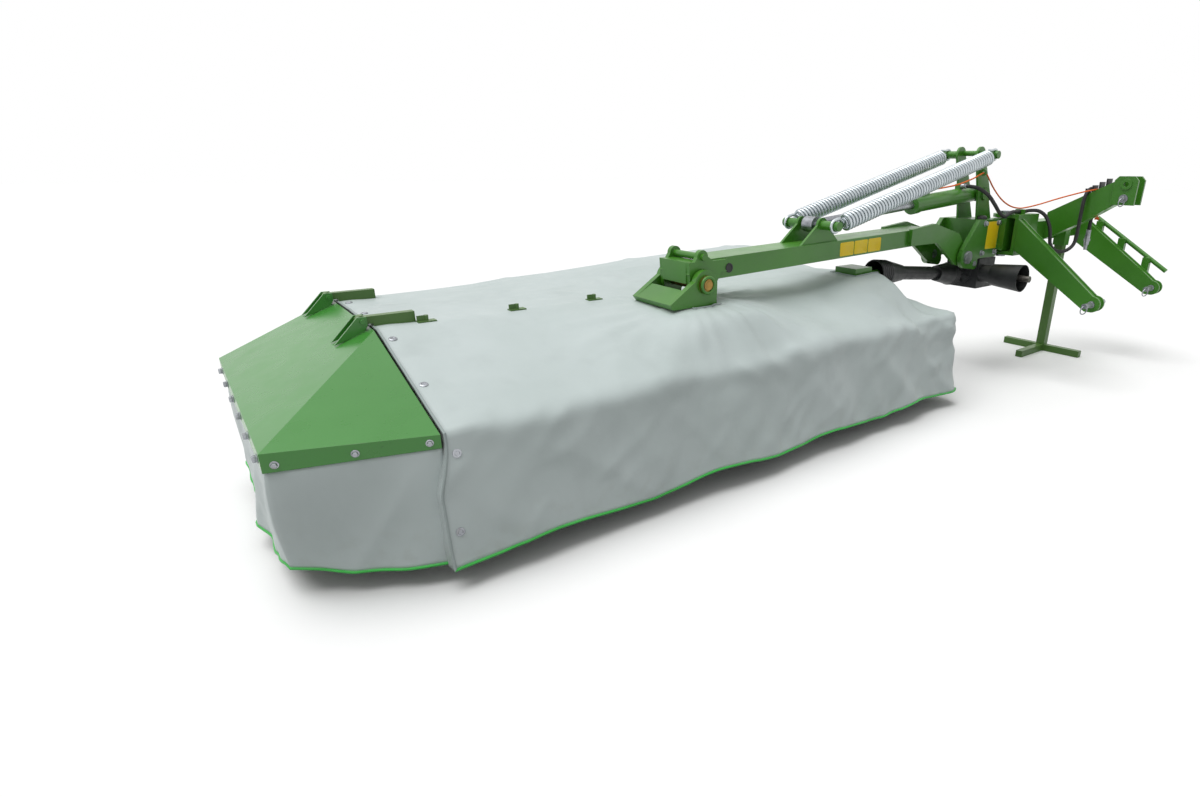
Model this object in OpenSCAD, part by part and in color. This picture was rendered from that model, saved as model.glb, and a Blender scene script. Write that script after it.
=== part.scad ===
// Rear mounted disc mower with a central boom, parked on its cutter bar and its stand.
// X runs from the outer end of the cover to the tractor's hitch, Y to the rear, Z up.
// Places inside are measured from the outer end, the cover's centre line and the ground.

/* [Cover] */
// Length of the cover from the outer hood edge to the inner end
cover_len = 2850; // [2600:10:3100]
// Width of the cover where the skirts start
cover_w = 1240; // [1140:10:1340]
// Height of the flat top
cover_top_z = 616; // [600:1:640]
// Height where the skirts start
skirt_top_z = 447; // [430:1:460]
// Height of the hem over the ground
hem_z = 68; // [50:1:100]
// How far the hem of a skirt stands out
skirt_flare = 50; // [30:1:70]
// Front edge of the flat top, before the centre line
top_front = 60; // [40:1:80]
// Rear edge of the flat top, behind the centre line
top_rear = 562; // [520:1:580]
// Length of the sloping inner end
hip_len = 300; // [260:5:320]
// Thickness of the cover sheet
sheet_t = 6; // [4:0.5:8]

/* [End hood] */
// Length of the hinged outer hood
hood_len = 397; // [360:1:430]
// Width of the hood at its outer edge
hood_end_w = 1025; // [960:5:1080]
// Height of the hood's outer edge
hood_end_z = 460; // [450:1:480]
// Thickness of the hood sheet
hood_t = 4; // [3:0.5:6]
// Height of the bolted flange
flange_h = 38; // [30:1:50]
// Gap between the hood and the cover
hood_gap = 8; // [6:1:12]

/* [Cutter bar] */
// Distance between two discs
disc_pitch = 422; // [412:1:432]
// Distance of the inner disc from the inner end of the cover
inner_disc_in = 310; // [300:1:330]
// Width of the gear housing
bar_w = 300; // [260:5:320]
// Height of the gear housing
bar_h = 60; // [50:1:70]
// Height of the skids under the housing
skid_h = 45; // [35:1:60]
// Length of a disc
disc_len = 380; // [360:2:400]
// Width of a disc
disc_w = 215; // [200:1:230]
// Thickness of a disc
disc_t = 6; // [5:0.5:8]
// Reach of the knives from the disc's axis
knife_reach = 252; // [246:1:258]
// Width of a knife
knife_w = 45; // [40:1:50]
// Thickness of a knife
knife_t = 4; // [3:0.5:5]

/* [Carrier] */
// Side of the square main beam
beam_s = 100; // [80:2:110]
// Distance of the main beam behind the centre line
beam_y = 300; // [260:5:340]
// Height of the main beam's axis
beam_z = 405; // [385:5:410]
// Thickness of the end plates
end_plate_t = 12; // [10:1:16]

/* [Boom] */
// Distance of the boom's plane before the centre line
boom_front = 232; // [200:2:260]
// Width of the boom
boom_w = 150; // [140:2:160]
// Height of the boom's box
boom_h = 81; // [73:1:93]
// Distance of the lift pivot past the inner end of the cover
pivot_out = 513; // [480:1:550]
// Height of the lift pivot
pivot_z = 655; // [645:1:665]
// Distance of the mower pivot from the outer end of the cover
mower_pivot_x = 1500; // [1400:5:1560]
// Height of the mower pivot
mower_pivot_z = 690; // [685:1:700]
// Thickness of the fork plates
fork_t = 20; // [16:1:24]
// Radius of the pivot pins
pivot_r = 25; // [20:0.5:30]

/* [Relief springs and lift cylinder] */
// Distance of the spring pin from the lift pivot
spring_arm = 1152; // [1100:2:1200]
// Height of the spring pin
spring_pin_z = 874; // [866:1:886]
// Half the distance between the springs
spring_half = 137; // [130:1:150]
// Distance of the upper spring bar past the lift pivot
tower_out = 107; // [90:1:130]
// Height of the upper spring bar
tower_z = 1188; // [1150:2:1230]
// Outer radius of a spring
spring_r = 42; // [36:1:46]
// Radius of the spring's wire
wire_r = 6; // [5:0.5:8]
// Radius of the lift barrel
barrel_r = 42; // [38:1:48]
// Length of the lift barrel
barrel_len = 600; // [560:5:640]
// Radius of the lift rod
rod_r = 20; // [16:1:24]

/* [Hitch] */
// Distance of the hitch's middle past the lift pivot
hitch_out = 787; // [740:1:830]
// Distance between the middles of the lower arms
hitch_w = 866; // [840:2:900]
// Distance of the hitch pins before the centre line
hitch_front = 912; // [860:2:960]
// Height of the hitch pins
hitch_z = 445; // [420:1:470]
// Radius of the lower hitch pins
hitch_pin_r = 14; // [11:0.5:18]
// Height of the top link hole over the hitch pins
mast = 600; // [560:2:640]
// Radius of the top link hole
top_hole_r = 12.8; // [10:0.1:16]
// Width of a lower arm
arm_w = 60; // [50:1:70]

/* [Driveline] */
// Radius of the outer guard tube
shaft_r = 36; // [32:1:40]
// Radius of the guard bells
bell_r = 62; // [58:1:63]
// Radius of the splined input shaft
input_r = 17.5; // [15:0.5:22]

/* [Parking stand] */
// Side of the square stand post
post_s = 50; // [40:1:60]
// Length of the foot's long bar
foot_len = 480; // [420:5:520]
// Height of the foot's bars
foot_h = 40; // [30:1:50]

/* [Fits] */
// Clearance of a pin in its bore
pin_fit = 0.2; // [0.1:0.05:0.4]
// Clearance between faces that slide past each other
side_fit = 5; // [4:0.5:8]

/* [Hidden] */
$fn = 48;

green = [0.24, 0.46, 0.17];
dark_green = [0.16, 0.32, 0.12];
zinc = [0.72, 0.73, 0.74];
steel = [0.5, 0.5, 0.52];
black = [0.09, 0.09, 0.1];
brass = [0.72, 0.6, 0.3];
fabric = [0.72, 0.75, 0.74];
orange = [0.9, 0.4, 0.12];

// Main places
boom_y = -boom_front;
pivot_x = cover_len + pivot_out;
disc_count = 6;
inner_disc_x = cover_len - inner_disc_in;
outer_disc_x = inner_disc_x - (disc_count - 1) * disc_pitch;
hitch_x = pivot_x + hitch_out;
hitch_y = -hitch_front;
near_arm_x = hitch_x - hitch_w / 2;
far_arm_x = hitch_x + hitch_w / 2;
top_hole_z = hitch_z + mast;
// How far a cutting tool runs past the piece that it cuts
past = 1;
// Gap between curved faces that only just clear each other
rest_gap = 0.3;

// Hinge of the outer hood
hinge_lift = 24;
hinge_back = 30;
hood_hinge_x = hood_len - hinge_back;
hood_hinge_z = cover_top_z + hinge_lift;
hinge_r = 8;

// Kingpin and the frame's box round it
king_out = 397;
king_front = 108;
king_x = pivot_x + king_out;
king_y = boom_y - king_front;
king_r = 28;
ear_r = 70;
ear_t = 20;
ear_front = 90;
ear_right = 150;
ear_drop = 5;
ear_rise = 220;
ear_low_z = pivot_z - ear_drop;
ear_top_z = pivot_z + ear_rise;
frame_plate_t = 20;
cross_s = 110;
cross_rise = 115;
cross_front = 20;
cross_z = pivot_z + cross_rise;
cross_y = king_y - cross_front;
near_root_y = king_y - ear_front - frame_plate_t;
far_root_y = cross_y - cross_s / 2;

// Swing head and its lugs
head_gap = 90;
head_len = 190;
head_right = king_x - head_gap;
head_left = head_right - head_len;
head_drop = 15;
head_rise = 195;
head_z0 = pivot_z - head_drop;
head_z1 = pivot_z + head_rise;
fork_out = boom_w / 2 + fork_t;
lug_in = fork_out + side_fit;
lug_t = 25;
lug_out = lug_in + lug_t;
lug_r = 60;
pin_head = 12;
pin_rim = 10;

// Springs, tower and lift cylinder
spring_pin_x = pivot_x - spring_arm;
tower_x = pivot_x + tower_out;
tower_h = tower_z - head_z1;
base_out = 197;
base_part = 0.4;
base_x = pivot_x + base_out;
base_z = head_z1 + base_part * tower_h;
bar_r = 20;
bar_end = 25;

// Driveline: the joint under the lift pivot and the one at the mower's gearbox
joint_out = 77;
joint_drop = 110;
joint_x = pivot_x + joint_out;
joint_z = pivot_z - joint_drop;
far_joint_in = 220;
far_joint_drop = 6;
far_joint_x = inner_disc_x + far_joint_in;
far_joint_z = cover_top_z - far_joint_drop;
drive_len = norm([joint_x - far_joint_x, joint_z - far_joint_z]);
drive_tilt = atan2(far_joint_z - joint_z, joint_x - far_joint_x);

// Place of the origin: the middle of the whole machine's box on the ground
stub_len = 80;
pin_collar = 10;
arm_tip_r = 42;
origin_x = (far_arm_x + arm_w / 2 + pin_collar + stub_len) / 2;
origin_y = (cover_w / 2 + skirt_flare / 2 + hitch_y - arm_tip_r) / 2;

module place() {
  translate([-origin_x, -origin_y, 0]) children();
}

// A plate in the XZ plane, its outline in x and z, its middle at y
module side_plate(points, y, t) {
  translate([0, y + t / 2, 0]) rotate([90, 0, 0]) linear_extrude(t) polygon(points);
}

// A plate in the YZ plane, its outline in y and z, its middle at x
module cross_plate(points, x, t) {
  translate([x - t / 2, 0, 0]) rotate([90, 0, 90]) linear_extrude(t) polygon(points);
}

module along_y(x, y, z, r, len) {
  translate([x, y, z]) rotate([90, 0, 0]) cylinder(r = r, h = len, center = true);
}

module along_x(x, y, z, r, len) {
  translate([x, y, z]) rotate([0, 90, 0]) cylinder(r = r, h = len, center = true);
}

// A round rod from one point to another
module rod(a, b, r) {
  v = b - a;
  translate(a) rotate([0, acos(v[2] / norm(v)), atan2(v[1], v[0])]) cylinder(r = r, h = norm(v));
}

// A bolt's hexagon head on its washer, standing on z = 0
washer_part = 1.4;
module bolt_head(across) {
  cylinder(d = washer_part * across, h = across / 8);
  cylinder(d = across, h = across * 5 / 8, $fn = 6);
}

// Three point frame

module frame_ear(z) {
  translate([king_x, king_y, z]) difference() {
    union() {
      cylinder(r = ear_r, h = ear_t);
      translate([-ear_r, -ear_front, 0]) cube([ear_r + ear_right, ear_front, ear_t]);
      translate([0, -ear_front, 0]) cube([ear_right, ear_front + ear_r, ear_t]);
    }
    translate([0, 0, -past]) cylinder(r = king_r + pin_fit, h = ear_t + 2 * past);
  }
}

socket_wall = 8;
socket_fit = 0.5;
socket_len = 190;
socket_out = 140;
socket_x = hitch_x + socket_out;
socket_hole = post_s + 2 * socket_fit;
socket_s = socket_hole + 2 * socket_wall;
socket_y = far_root_y - socket_s / 2;
socket_z0 = cross_z - socket_len / 2;
// The clamp that both hoses end in, on the upper ear
clamp_out = 420.5;
clamp_front = 170;
clamp_len = 19;
clamp_w = 50;
clamp_h = 26;
module three_point_frame() {
  color(green) place() {
    frame_ear(ear_top_z - ear_t);
    frame_ear(ear_low_z);
    translate([king_x - ear_r, near_root_y, ear_low_z])
      cube([ear_r + ear_right, frame_plate_t, ear_top_z - ear_low_z]);
    translate([king_x + ear_right, near_root_y, ear_low_z])
      cube([frame_plate_t, ear_front + ear_r + frame_plate_t, ear_top_z - ear_low_z]);
    translate([king_x + ear_right + frame_plate_t, far_root_y, cross_z - cross_s / 2])
      cube([far_arm_x + arm_w / 2 - king_x - ear_right - frame_plate_t, cross_s, cross_s]);
    difference() {
      translate([socket_x - socket_s / 2, socket_y - socket_s / 2, socket_z0])
        cube([socket_s, socket_s, socket_len]);
      translate([socket_x, socket_y, cross_z])
        cube([socket_hole, socket_hole, socket_len + 2 * past], center = true);
    }
    translate([pivot_x + clamp_out, boom_y - clamp_front - clamp_w / 2, ear_top_z])
      cube([clamp_len, clamp_w, clamp_h]);
  }
}

king_head = 15;
king_rim = 12;
module kingpin() {
  color(zinc) place() translate([king_x, king_y, 0]) {
    translate([0, 0, ear_low_z - king_head]) cylinder(r = king_r, h = ear_top_z - ear_low_z + king_head);
    translate([0, 0, ear_top_z]) cylinder(r = king_r + king_rim, h = king_head);
  }
}

arm_root_h = 170;
arm_tip_h = 90;
tip_under = 30;
tip_over = 60;
arm_plate_t = 10;
arm_sink = 8;
pin_wall = 4;
pin_core_r = hitch_pin_r + pin_wall;
// A lower arm's outline in y and z from its root, set in by a distance
function arm_outline(root_y, d) = [
  [root_y, cross_z + arm_root_h / 2 - d],
  [root_y, cross_z - arm_root_h / 2 + d],
  [hitch_y + tip_under, hitch_z - arm_tip_r + d],
  [hitch_y, hitch_z - arm_tip_r + d],
  [hitch_y, hitch_z + arm_tip_r - d],
  [hitch_y + tip_over, hitch_z + arm_tip_h - d],
];
module lower_arm(x, root_y) {
  difference() {
    union() {
      cross_plate(arm_outline(root_y, arm_sink), x, arm_w);
      for (side = [-1, 1]) {
        plate_x = x + side * (arm_w - arm_plate_t) / 2;
        cross_plate(arm_outline(root_y, 0), plate_x, arm_plate_t);
        along_x(plate_x, hitch_y, hitch_z, arm_tip_r, arm_plate_t);
      }
      along_x(x, hitch_y, hitch_z, arm_tip_r - arm_sink, arm_w);
    }
    along_x(x, hitch_y, hitch_z, pin_core_r + pin_fit, arm_w + 2 * past);
  }
}
module lower_arm_near() { color(green) place() lower_arm(near_arm_x, near_root_y); }
module lower_arm_far() { color(green) place() lower_arm(far_arm_x, far_root_y); }

// Top link beam, from the cross tube to the cheeks
top_w = 80;
cheek_t = 15;
cheek_front = 42;
cheek_back = 160;
cheek_drop = 110;
cheek_rise = 42;
cheek_cut = 20;
top_hole_back = 97;
low_hole_drop = 75;
boss_r = 28;
boss_t = 8;
cheek_y0 = hitch_y + cheek_front;
cheek_y1 = hitch_y + cheek_back;
top_hole_y = hitch_y + top_hole_back;
beam_end_in = 18;
beam_end_y = cheek_y1 - beam_end_in;
beam_top_rise = 25;
knee_back = 300;
knee_rise = 56;
// Height of the top link beam's upper edge at a place along it
function beam_top(y) =
  ear_top_z + (top_hole_z + beam_top_rise - ear_top_z) * (far_root_y - y) / (far_root_y - beam_end_y);
module cheek(x) {
  cross_plate([
    [cheek_y0, top_hole_z - cheek_drop], [cheek_y1, top_hole_z - cheek_drop],
    [cheek_y1, top_hole_z + cheek_cut], [cheek_y1 - cheek_cut, top_hole_z + cheek_rise],
    [cheek_y0 + cheek_cut, top_hole_z + cheek_rise], [cheek_y0, top_hole_z + cheek_cut],
  ], x, cheek_t);
}
module top_link_beam() {
  color(green) place() {
    cross_plate([
      [far_root_y, cross_z - cross_s / 2], [far_root_y, ear_top_z],
      [beam_end_y, top_hole_z + beam_top_rise], [beam_end_y, top_hole_z - cheek_drop],
      [hitch_y + knee_back, cross_z + knee_rise],
    ], hitch_x, top_w);
    for (side = [-1, 1]) difference() {
      union() {
        cheek(hitch_x + side * (top_w + cheek_t) / 2);
        along_x(hitch_x + side * (top_w / 2 + cheek_t + boss_t / 2), top_hole_y, top_hole_z, boss_r, boss_t);
      }
      for (drop = [0, low_hole_drop])
        along_x(hitch_x, top_hole_y, top_hole_z - drop, top_hole_r, 2 * top_w);
    }
  }
}

// Lower hitch pins and the top link pin, which is kept in the lower hole
link_pin_over = 25;
link_head_r = 22;
link_head_t = 8;
module hitch_pins() {
  color(zinc) place() {
    for (x = [near_arm_x, far_arm_x]) {
      along_x(x, hitch_y, hitch_z, pin_core_r, arm_w + 2 * pin_collar);
      along_x(x, hitch_y, hitch_z, hitch_pin_r, arm_w + 2 * pin_collar + 2 * stub_len);
    }
    along_x(hitch_x, top_hole_y, top_hole_z - low_hole_drop, top_hole_r - pin_fit,
      top_w + 2 * cheek_t + 2 * link_pin_over);
    along_x(hitch_x - top_w / 2 - cheek_t - link_head_t / 2, top_hole_y, top_hole_z - low_hole_drop,
      link_head_r, link_head_t);
  }
}

// Rod carried along the far lower arm
latch_r = 13;
latch_rise = 115;
latch_off = 32;
latch_w = 40;
latch_foot = 20;
latch_in = 115;
latch_step = 145;
latch_tip = 80;
latch_over = 30;
latch_x = far_arm_x + arm_w / 2 + latch_off;
latch_y = [far_root_y - latch_in, far_root_y - latch_in - latch_step, hitch_y + latch_tip];
// Height of the far arm's axis at a place along it
function arm_axis(y) = hitch_z + (cross_z - hitch_z) * (y - hitch_y) / (far_root_y - hitch_y);
module latch_rod() {
  rod_y = [far_root_y - latch_in + latch_over, hitch_y - latch_over];
  color(dark_green) place() {
    rod([latch_x, rod_y[0], arm_axis(rod_y[0]) + latch_rise],
      [latch_x, rod_y[1], arm_axis(rod_y[1]) + latch_rise], latch_r);
    for (y = latch_y) translate([far_arm_x + arm_w / 2, y - latch_w / 2, arm_axis(y) - latch_foot])
      cube([latch_off, latch_w, latch_rise + latch_foot]);
  }
}

comb_back = 185;
comb_y = far_root_y - comb_back;
comb_h = 40;
comb_w = 64;
tooth_t = 8;
tooth_pitch = 34;
tooth_count = 4;
module hose_comb() {
  color(black) place() for (i = [0:tooth_count - 1]) {
    y = comb_y - i * tooth_pitch;
    cross_plate([
      [y, beam_top(y)], [y, beam_top(y) + comb_h],
      [y - tooth_t, beam_top(y) + comb_h], [y - tooth_t, beam_top(y - tooth_t)],
    ], hitch_x, comb_w);
  }
}

post_over = 40;
foot_arm = 300;
module parking_stand() {
  color(dark_green) place() translate([socket_x, socket_y, 0]) {
    translate([-post_s / 2, -post_s / 2, 0]) cube([post_s, post_s, socket_z0 + socket_len + post_over]);
    translate([-foot_h / 2, -foot_len / 2, 0]) cube([foot_h, foot_len, foot_h]);
    translate([-foot_arm, -foot_h / 2, 0]) cube([foot_arm, foot_h, foot_h]);
  }
}

// Swing head

hub_r = 52;
hub_z0 = ear_low_z + ear_t + side_fit;
hub_z1 = ear_top_z - ear_t - side_fit;
lug_root = 20;
lug_nose = 30;
lug_slope = 40;
lug_cut = 10;
// Small ear with an eye beside the lift pivot
eye_out = 85;
eye_drop = 40;
eye_ear_r = 32;
eye_hole_r = 14;
module lug(y) {
  difference() {
    union() {
      side_plate([
        [head_left + lug_root, head_z0], [head_left + lug_root, head_z1],
        [head_left - lug_nose, head_z1], [pivot_x - lug_r + lug_cut, pivot_z + lug_slope],
        [pivot_x, pivot_z - lug_r], [pivot_x + eye_out, pivot_z - eye_drop - eye_ear_r],
        [pivot_x + eye_out + eye_ear_r, head_z0],
      ], y, lug_t);
      along_y(pivot_x, y, pivot_z, lug_r, lug_t);
      along_y(pivot_x + eye_out, y, pivot_z - eye_drop, eye_ear_r, lug_t);
    }
    along_y(pivot_x, y, pivot_z, pivot_r + pin_fit, lug_t + 2 * past);
  }
}
module swing_head() {
  color(green) place() {
    translate([head_left, boom_y - lug_out, head_z0])
      cube([head_len, 2 * lug_out, head_z1 - head_z0]);
    for (side = [-1, 1]) lug(boom_y + side * (lug_in + lug_t / 2));
    difference() {
      union() {
        translate([king_x, king_y, hub_z0]) cylinder(r = hub_r, h = hub_z1 - hub_z0);
        translate([head_right - past, king_y - hub_r, hub_z0])
          cube([king_x - head_right, 2 * hub_r, hub_z1 - hub_z0]);
      }
      translate([king_x, king_y, hub_z0 - past]) cylinder(r = king_r + pin_fit, h = hub_z1 - hub_z0 + 2 * past);
    }
  }
}

// Tower plates with the stubs that the springs hang from and the tie over the lift cylinder
tower_t = 12;
tower_in = 58;
tower_top_r = 42;
tower_foot = 40;
tower_waist = 0.27;
tie_r = 14;
tie_out = 28;
tie_rise = 8;
eyelet_out = 18;
eyelet_drop = 90;
eyelet_r = 18;
eyelet_hole_r = 8;
eyelet_t = 8;
// A ring on the front tower plate that the rope runs through
module eyelet() {
  translate([tower_x + eyelet_out, boom_y - tower_in - tower_t / 2 - eyelet_r, tower_z - eyelet_drop])
    rotate([0, 90, 0]) difference() {
      union() {
        cylinder(r = eyelet_r, h = eyelet_t, center = true);
        translate([0, eyelet_r / 2, 0]) cube([eyelet_r, eyelet_r, eyelet_t], center = true);
      }
      cylinder(r = eyelet_hole_r, h = eyelet_t + 2 * past, center = true);
    }
}
base_side = 65;
module tower_plate(y) {
  difference() {
    union() {
      side_plate([
        [head_left + tower_foot, head_z1], [head_right, head_z1],
        [base_x + base_side, head_z1 + tower_waist * tower_h], [base_x + base_side, base_z],
        [tower_x + tower_top_r, tower_z], [tower_x - tower_top_r, tower_z],
        [base_x - base_side, base_z],
      ], y, tower_t);
      along_y(tower_x, y, tower_z, tower_top_r, tower_t);
    }
    along_y(base_x, y, base_z, pivot_r + pin_fit, tower_t + 2 * past);
  }
}
module spring_tower() {
  color(green) place() {
    for (side = [-1, 1]) {
      tower_plate(boom_y + side * tower_in);
      along_y(tower_x, boom_y + side * (tower_in + spring_half + bar_end) / 2, tower_z, bar_r,
        spring_half + bar_end - tower_in);
    }
    along_y(tower_x + tie_out, boom_y, tower_z + tie_rise, tie_r, 2 * tower_in);
    eyelet();
    along_y(base_x, boom_y, base_z, pivot_r, 2 * tower_in + tower_t + 2 * pin_head);
    for (side = [-1, 1])
      along_y(base_x, boom_y + side * (tower_in + tower_t / 2 + pin_head / 2), base_z, pivot_r + pin_rim, pin_head);
  }
}

// Angle gearbox under the head, with its input shaft in a guard
gear_in = 187;
input_in = 237;
gear_x0 = pivot_x + gear_in;
input_x = pivot_x + input_in;
gear_z = joint_z;
gear_w = 180;
gear_h = 170;
gear_d = 200;
neck_len = 68;
neck_r = 50;
gear_foot_in = 10;
gear_foot_w = 120;
cap_r = 66;
cap_t = 12;
cap_bolt = 20;
cap_bolt_r = 48;
cap_bolts = 6;
stub_r = 18;
ball_r = 24;
ball_gap = 0.5;
stub_x = joint_x + ball_r + ball_gap;
module angle_gearbox() {
  color(black) place() {
    translate([gear_x0, boom_y - gear_d / 2, gear_z - gear_h / 2]) cube([gear_w, gear_d, gear_h]);
    along_y(input_x, boom_y - gear_d / 2 - neck_len / 2, gear_z, neck_r, neck_len);
    translate([head_left + gear_foot_in, boom_y - gear_foot_w / 2, gear_z + gear_h / 2 - past])
      cube([head_len - 2 * gear_foot_in, gear_foot_w, head_z0 - gear_z - gear_h / 2 + past]);
    along_x(gear_x0 - cap_t / 2, boom_y, gear_z, cap_r, cap_t + past);
    for (i = [0:cap_bolts - 1]) translate([gear_x0 - cap_t, boom_y, gear_z]) rotate([i * 360 / cap_bolts, 0, 0])
      translate([0, 0, cap_bolt_r]) rotate([0, -90, 0]) bolt_head(cap_bolt);
    along_x((gear_x0 + stub_x) / 2, boom_y, joint_z, stub_r, gear_x0 - stub_x);
  }
}

guard_len = 170;
guard_t = 4;
guard_r0 = 60;
guard_r1 = 75;
guard_ring = 8;
guard_y = boom_y - gear_d / 2 - neck_len;
module input_guard() {
  color(black) place() translate([input_x, guard_y, gear_z]) rotate([90, 0, 0]) rotate_extrude()
    polygon([
      [input_r + guard_ring, 0], [guard_r0, 0], [guard_r1, guard_len], [guard_r1 - guard_t, guard_len],
      [guard_r0 - guard_t, guard_t], [input_r + guard_ring, guard_t],
    ]);
}

input_over = 40;
input_stick = guard_len + input_over;
module input_shaft() {
  color(steel) place() along_y(input_x, guard_y - input_stick / 2, gear_z, input_r, input_stick);
}

// Stub pins of the lift pivot with their rims, and the bush in the eye of each small ear
bush_over = 6;
module boom_pins() {
  pin_len = lug_out + pin_head - boom_w / 2;
  color(zinc) place() for (side = [-1, 1]) {
    along_y(pivot_x, boom_y + side * (boom_w / 2 + pin_len / 2), pivot_z, pivot_r, pin_len);
    along_y(pivot_x, boom_y + side * (lug_out + pin_head / 2), pivot_z, pivot_r + pin_rim, pin_head);
    along_y(pivot_x + eye_out, boom_y + side * (lug_out + bush_over / 2), pivot_z - eye_drop, eye_hole_r, bush_over);
  }
}

// Boom

boom_tip = 60;
boom_in = 303;
boom_rise = 38;
boom_root_rise = 126;
boom_x0 = mower_pivot_x - boom_tip;
boom_x1 = pivot_x - boom_in;
boom_z0 = mower_pivot_z + boom_rise;
boom_z1 = pivot_z + boom_root_rise;
boom_slope = (boom_z1 - boom_z0) / (boom_x1 - boom_x0);
// The boom's underside stays where it clears the driveline, so its height grows upwards
boom_drop = 36;
boom_crown = boom_h - boom_drop;
// Height of the boom's upper face at a place along it
function boom_top(x) = boom_z0 + boom_crown + boom_slope * (x - boom_x0);
fork_lap = 200;
fork_hump = 20;
fork_knee = 60;
fork_crown = 130;
fork_chin = 40;
web_t = 10;
boom_lug_r = lug_r - lug_cut;
ear_reach = 55;
boom_ear_lap = 190;
ear_back = 140;
ear_chin = 20;
// Upper ear at the outer end with its cross pin
top_ear_in = 65;
top_ear_rise = 62;
top_ear_r = 26;
top_pin_r = 13;
top_pin_over = 14;
module boom_fork(y) {
  side_plate([
    [boom_x1 - fork_lap, boom_z1 - boom_drop], [boom_x1 - fork_lap, boom_z1 + boom_crown],
    [boom_x1, boom_z1 + boom_crown + fork_hump], [pivot_x - fork_knee, pivot_z + fork_crown],
    [pivot_x + boom_lug_r, pivot_z + ear_chin], [pivot_x, pivot_z - boom_lug_r],
    [pivot_x - fork_knee, pivot_z - fork_chin], [boom_x1 + fork_chin, boom_z1 - boom_drop],
  ], y, fork_t);
  along_y(pivot_x, y, pivot_z, boom_lug_r, fork_t);
}
module boom_ear(y) {
  side_plate([
    [boom_x0, boom_z0 + boom_crown], [boom_x0 + boom_ear_lap, boom_z0 + boom_crown],
    [boom_x0 + ear_back, boom_z0 - boom_drop], [mower_pivot_x + ear_reach, mower_pivot_z],
    [mower_pivot_x - ear_reach, mower_pivot_z],
  ], y, fork_t);
  along_y(mower_pivot_x, y, mower_pivot_z, ear_reach, fork_t);
}
module boom() {
  ear_x = boom_x0 + top_ear_in;
  ear_z = boom_z0 + top_ear_rise;
  color(green) place() difference() {
    union() {
      side_plate([
        [boom_x0, boom_z0 - boom_drop], [boom_x1, boom_z1 - boom_drop],
        [boom_x1, boom_z1 + boom_crown], [boom_x0, boom_z0 + boom_crown],
      ], boom_y, boom_w);
      side_plate([
        [boom_x1 - past, boom_z1 + boom_crown], [pivot_x - fork_knee, pivot_z + fork_crown],
        [pivot_x - fork_knee, pivot_z + fork_crown - web_t], [boom_x1 - past, boom_z1 + boom_crown - web_t],
      ], boom_y, boom_w + past);
      for (side = [-1, 1]) {
        boom_fork(boom_y + side * (boom_w + fork_t) / 2);
        boom_ear(boom_y + side * (boom_w + fork_t) / 2);
      }
      for (side = [-1, 1]) {
        y = boom_y + side * (boom_w + fork_t) / 2;
        side_plate([
          [boom_x0, boom_z0], [boom_x0 + boom_ear_lap, boom_z0],
          [ear_x + top_ear_r, ear_z], [ear_x - top_ear_r, ear_z],
        ], y, fork_t);
        along_y(ear_x, y, ear_z, top_ear_r, fork_t);
      }
      along_y(ear_x, boom_y, ear_z, top_pin_r, boom_w + 2 * fork_t + 2 * top_pin_over);
    }
    along_y(pivot_x, boom_y, pivot_z, pivot_r + pin_fit, 2 * boom_w);
    along_y(mower_pivot_x, boom_y, mower_pivot_z, pivot_r + pin_fit, 2 * boom_w);
  }
}

bracket_t = 12;
bracket_half = 60;
bracket_out = 130;
bracket_in = 110;
bracket_top = 32;
eye_r = 34;
module spring_bracket() {
  color(green) place() for (side = [-1, 1]) {
    y = boom_y + side * bracket_half;
    side_plate([
      [spring_pin_x - bracket_out, boom_top(spring_pin_x - bracket_out)],
      [spring_pin_x + bracket_in, boom_top(spring_pin_x + bracket_in)],
      [spring_pin_x + bracket_top, spring_pin_z], [spring_pin_x - bracket_top, spring_pin_z],
    ], y, bracket_t);
    along_y(spring_pin_x, y, spring_pin_z, bracket_top, bracket_t);
    along_y(spring_pin_x, boom_y + side * (bracket_half + spring_half + bar_end) / 2, spring_pin_z, bar_r,
      spring_half + bar_end - bracket_half);
  }
}

// Mower carrier, beam and cutter bar

saddle_r = 55;
saddle_in = fork_out + side_fit;
saddle_t = 25;
saddle_out = saddle_in + saddle_t;
arm_under = 10;
arm_over = 90;
arm_low = beam_z - arm_under;
arm_high = beam_z + arm_over;
arm_half = 50;
nose_out = 170;
nose_drop = 60;
nose_in = 95;
nose_rise = 15;
nose_edge = 20;
nose_t = 10;
brow = 30;
module saddle_plate(y) {
  difference() {
    union() {
      side_plate([
        [mower_pivot_x - arm_half, arm_low], [mower_pivot_x + arm_half, arm_low],
        [mower_pivot_x + arm_half, arm_high], [mower_pivot_x + saddle_r, mower_pivot_z],
        [mower_pivot_x - brow, mower_pivot_z + brow], [mower_pivot_x - nose_out, mower_pivot_z - nose_drop],
        [mower_pivot_x - nose_out + nose_rise, mower_pivot_z - nose_drop - nose_edge],
        [mower_pivot_x - arm_half, mower_pivot_z - nose_drop - nose_edge],
      ], y, saddle_t);
      along_y(mower_pivot_x, y, mower_pivot_z, saddle_r, saddle_t);
    }
    along_y(mower_pivot_x, y, mower_pivot_z, pivot_r + pin_fit, saddle_t + 2 * past);
  }
}
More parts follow.
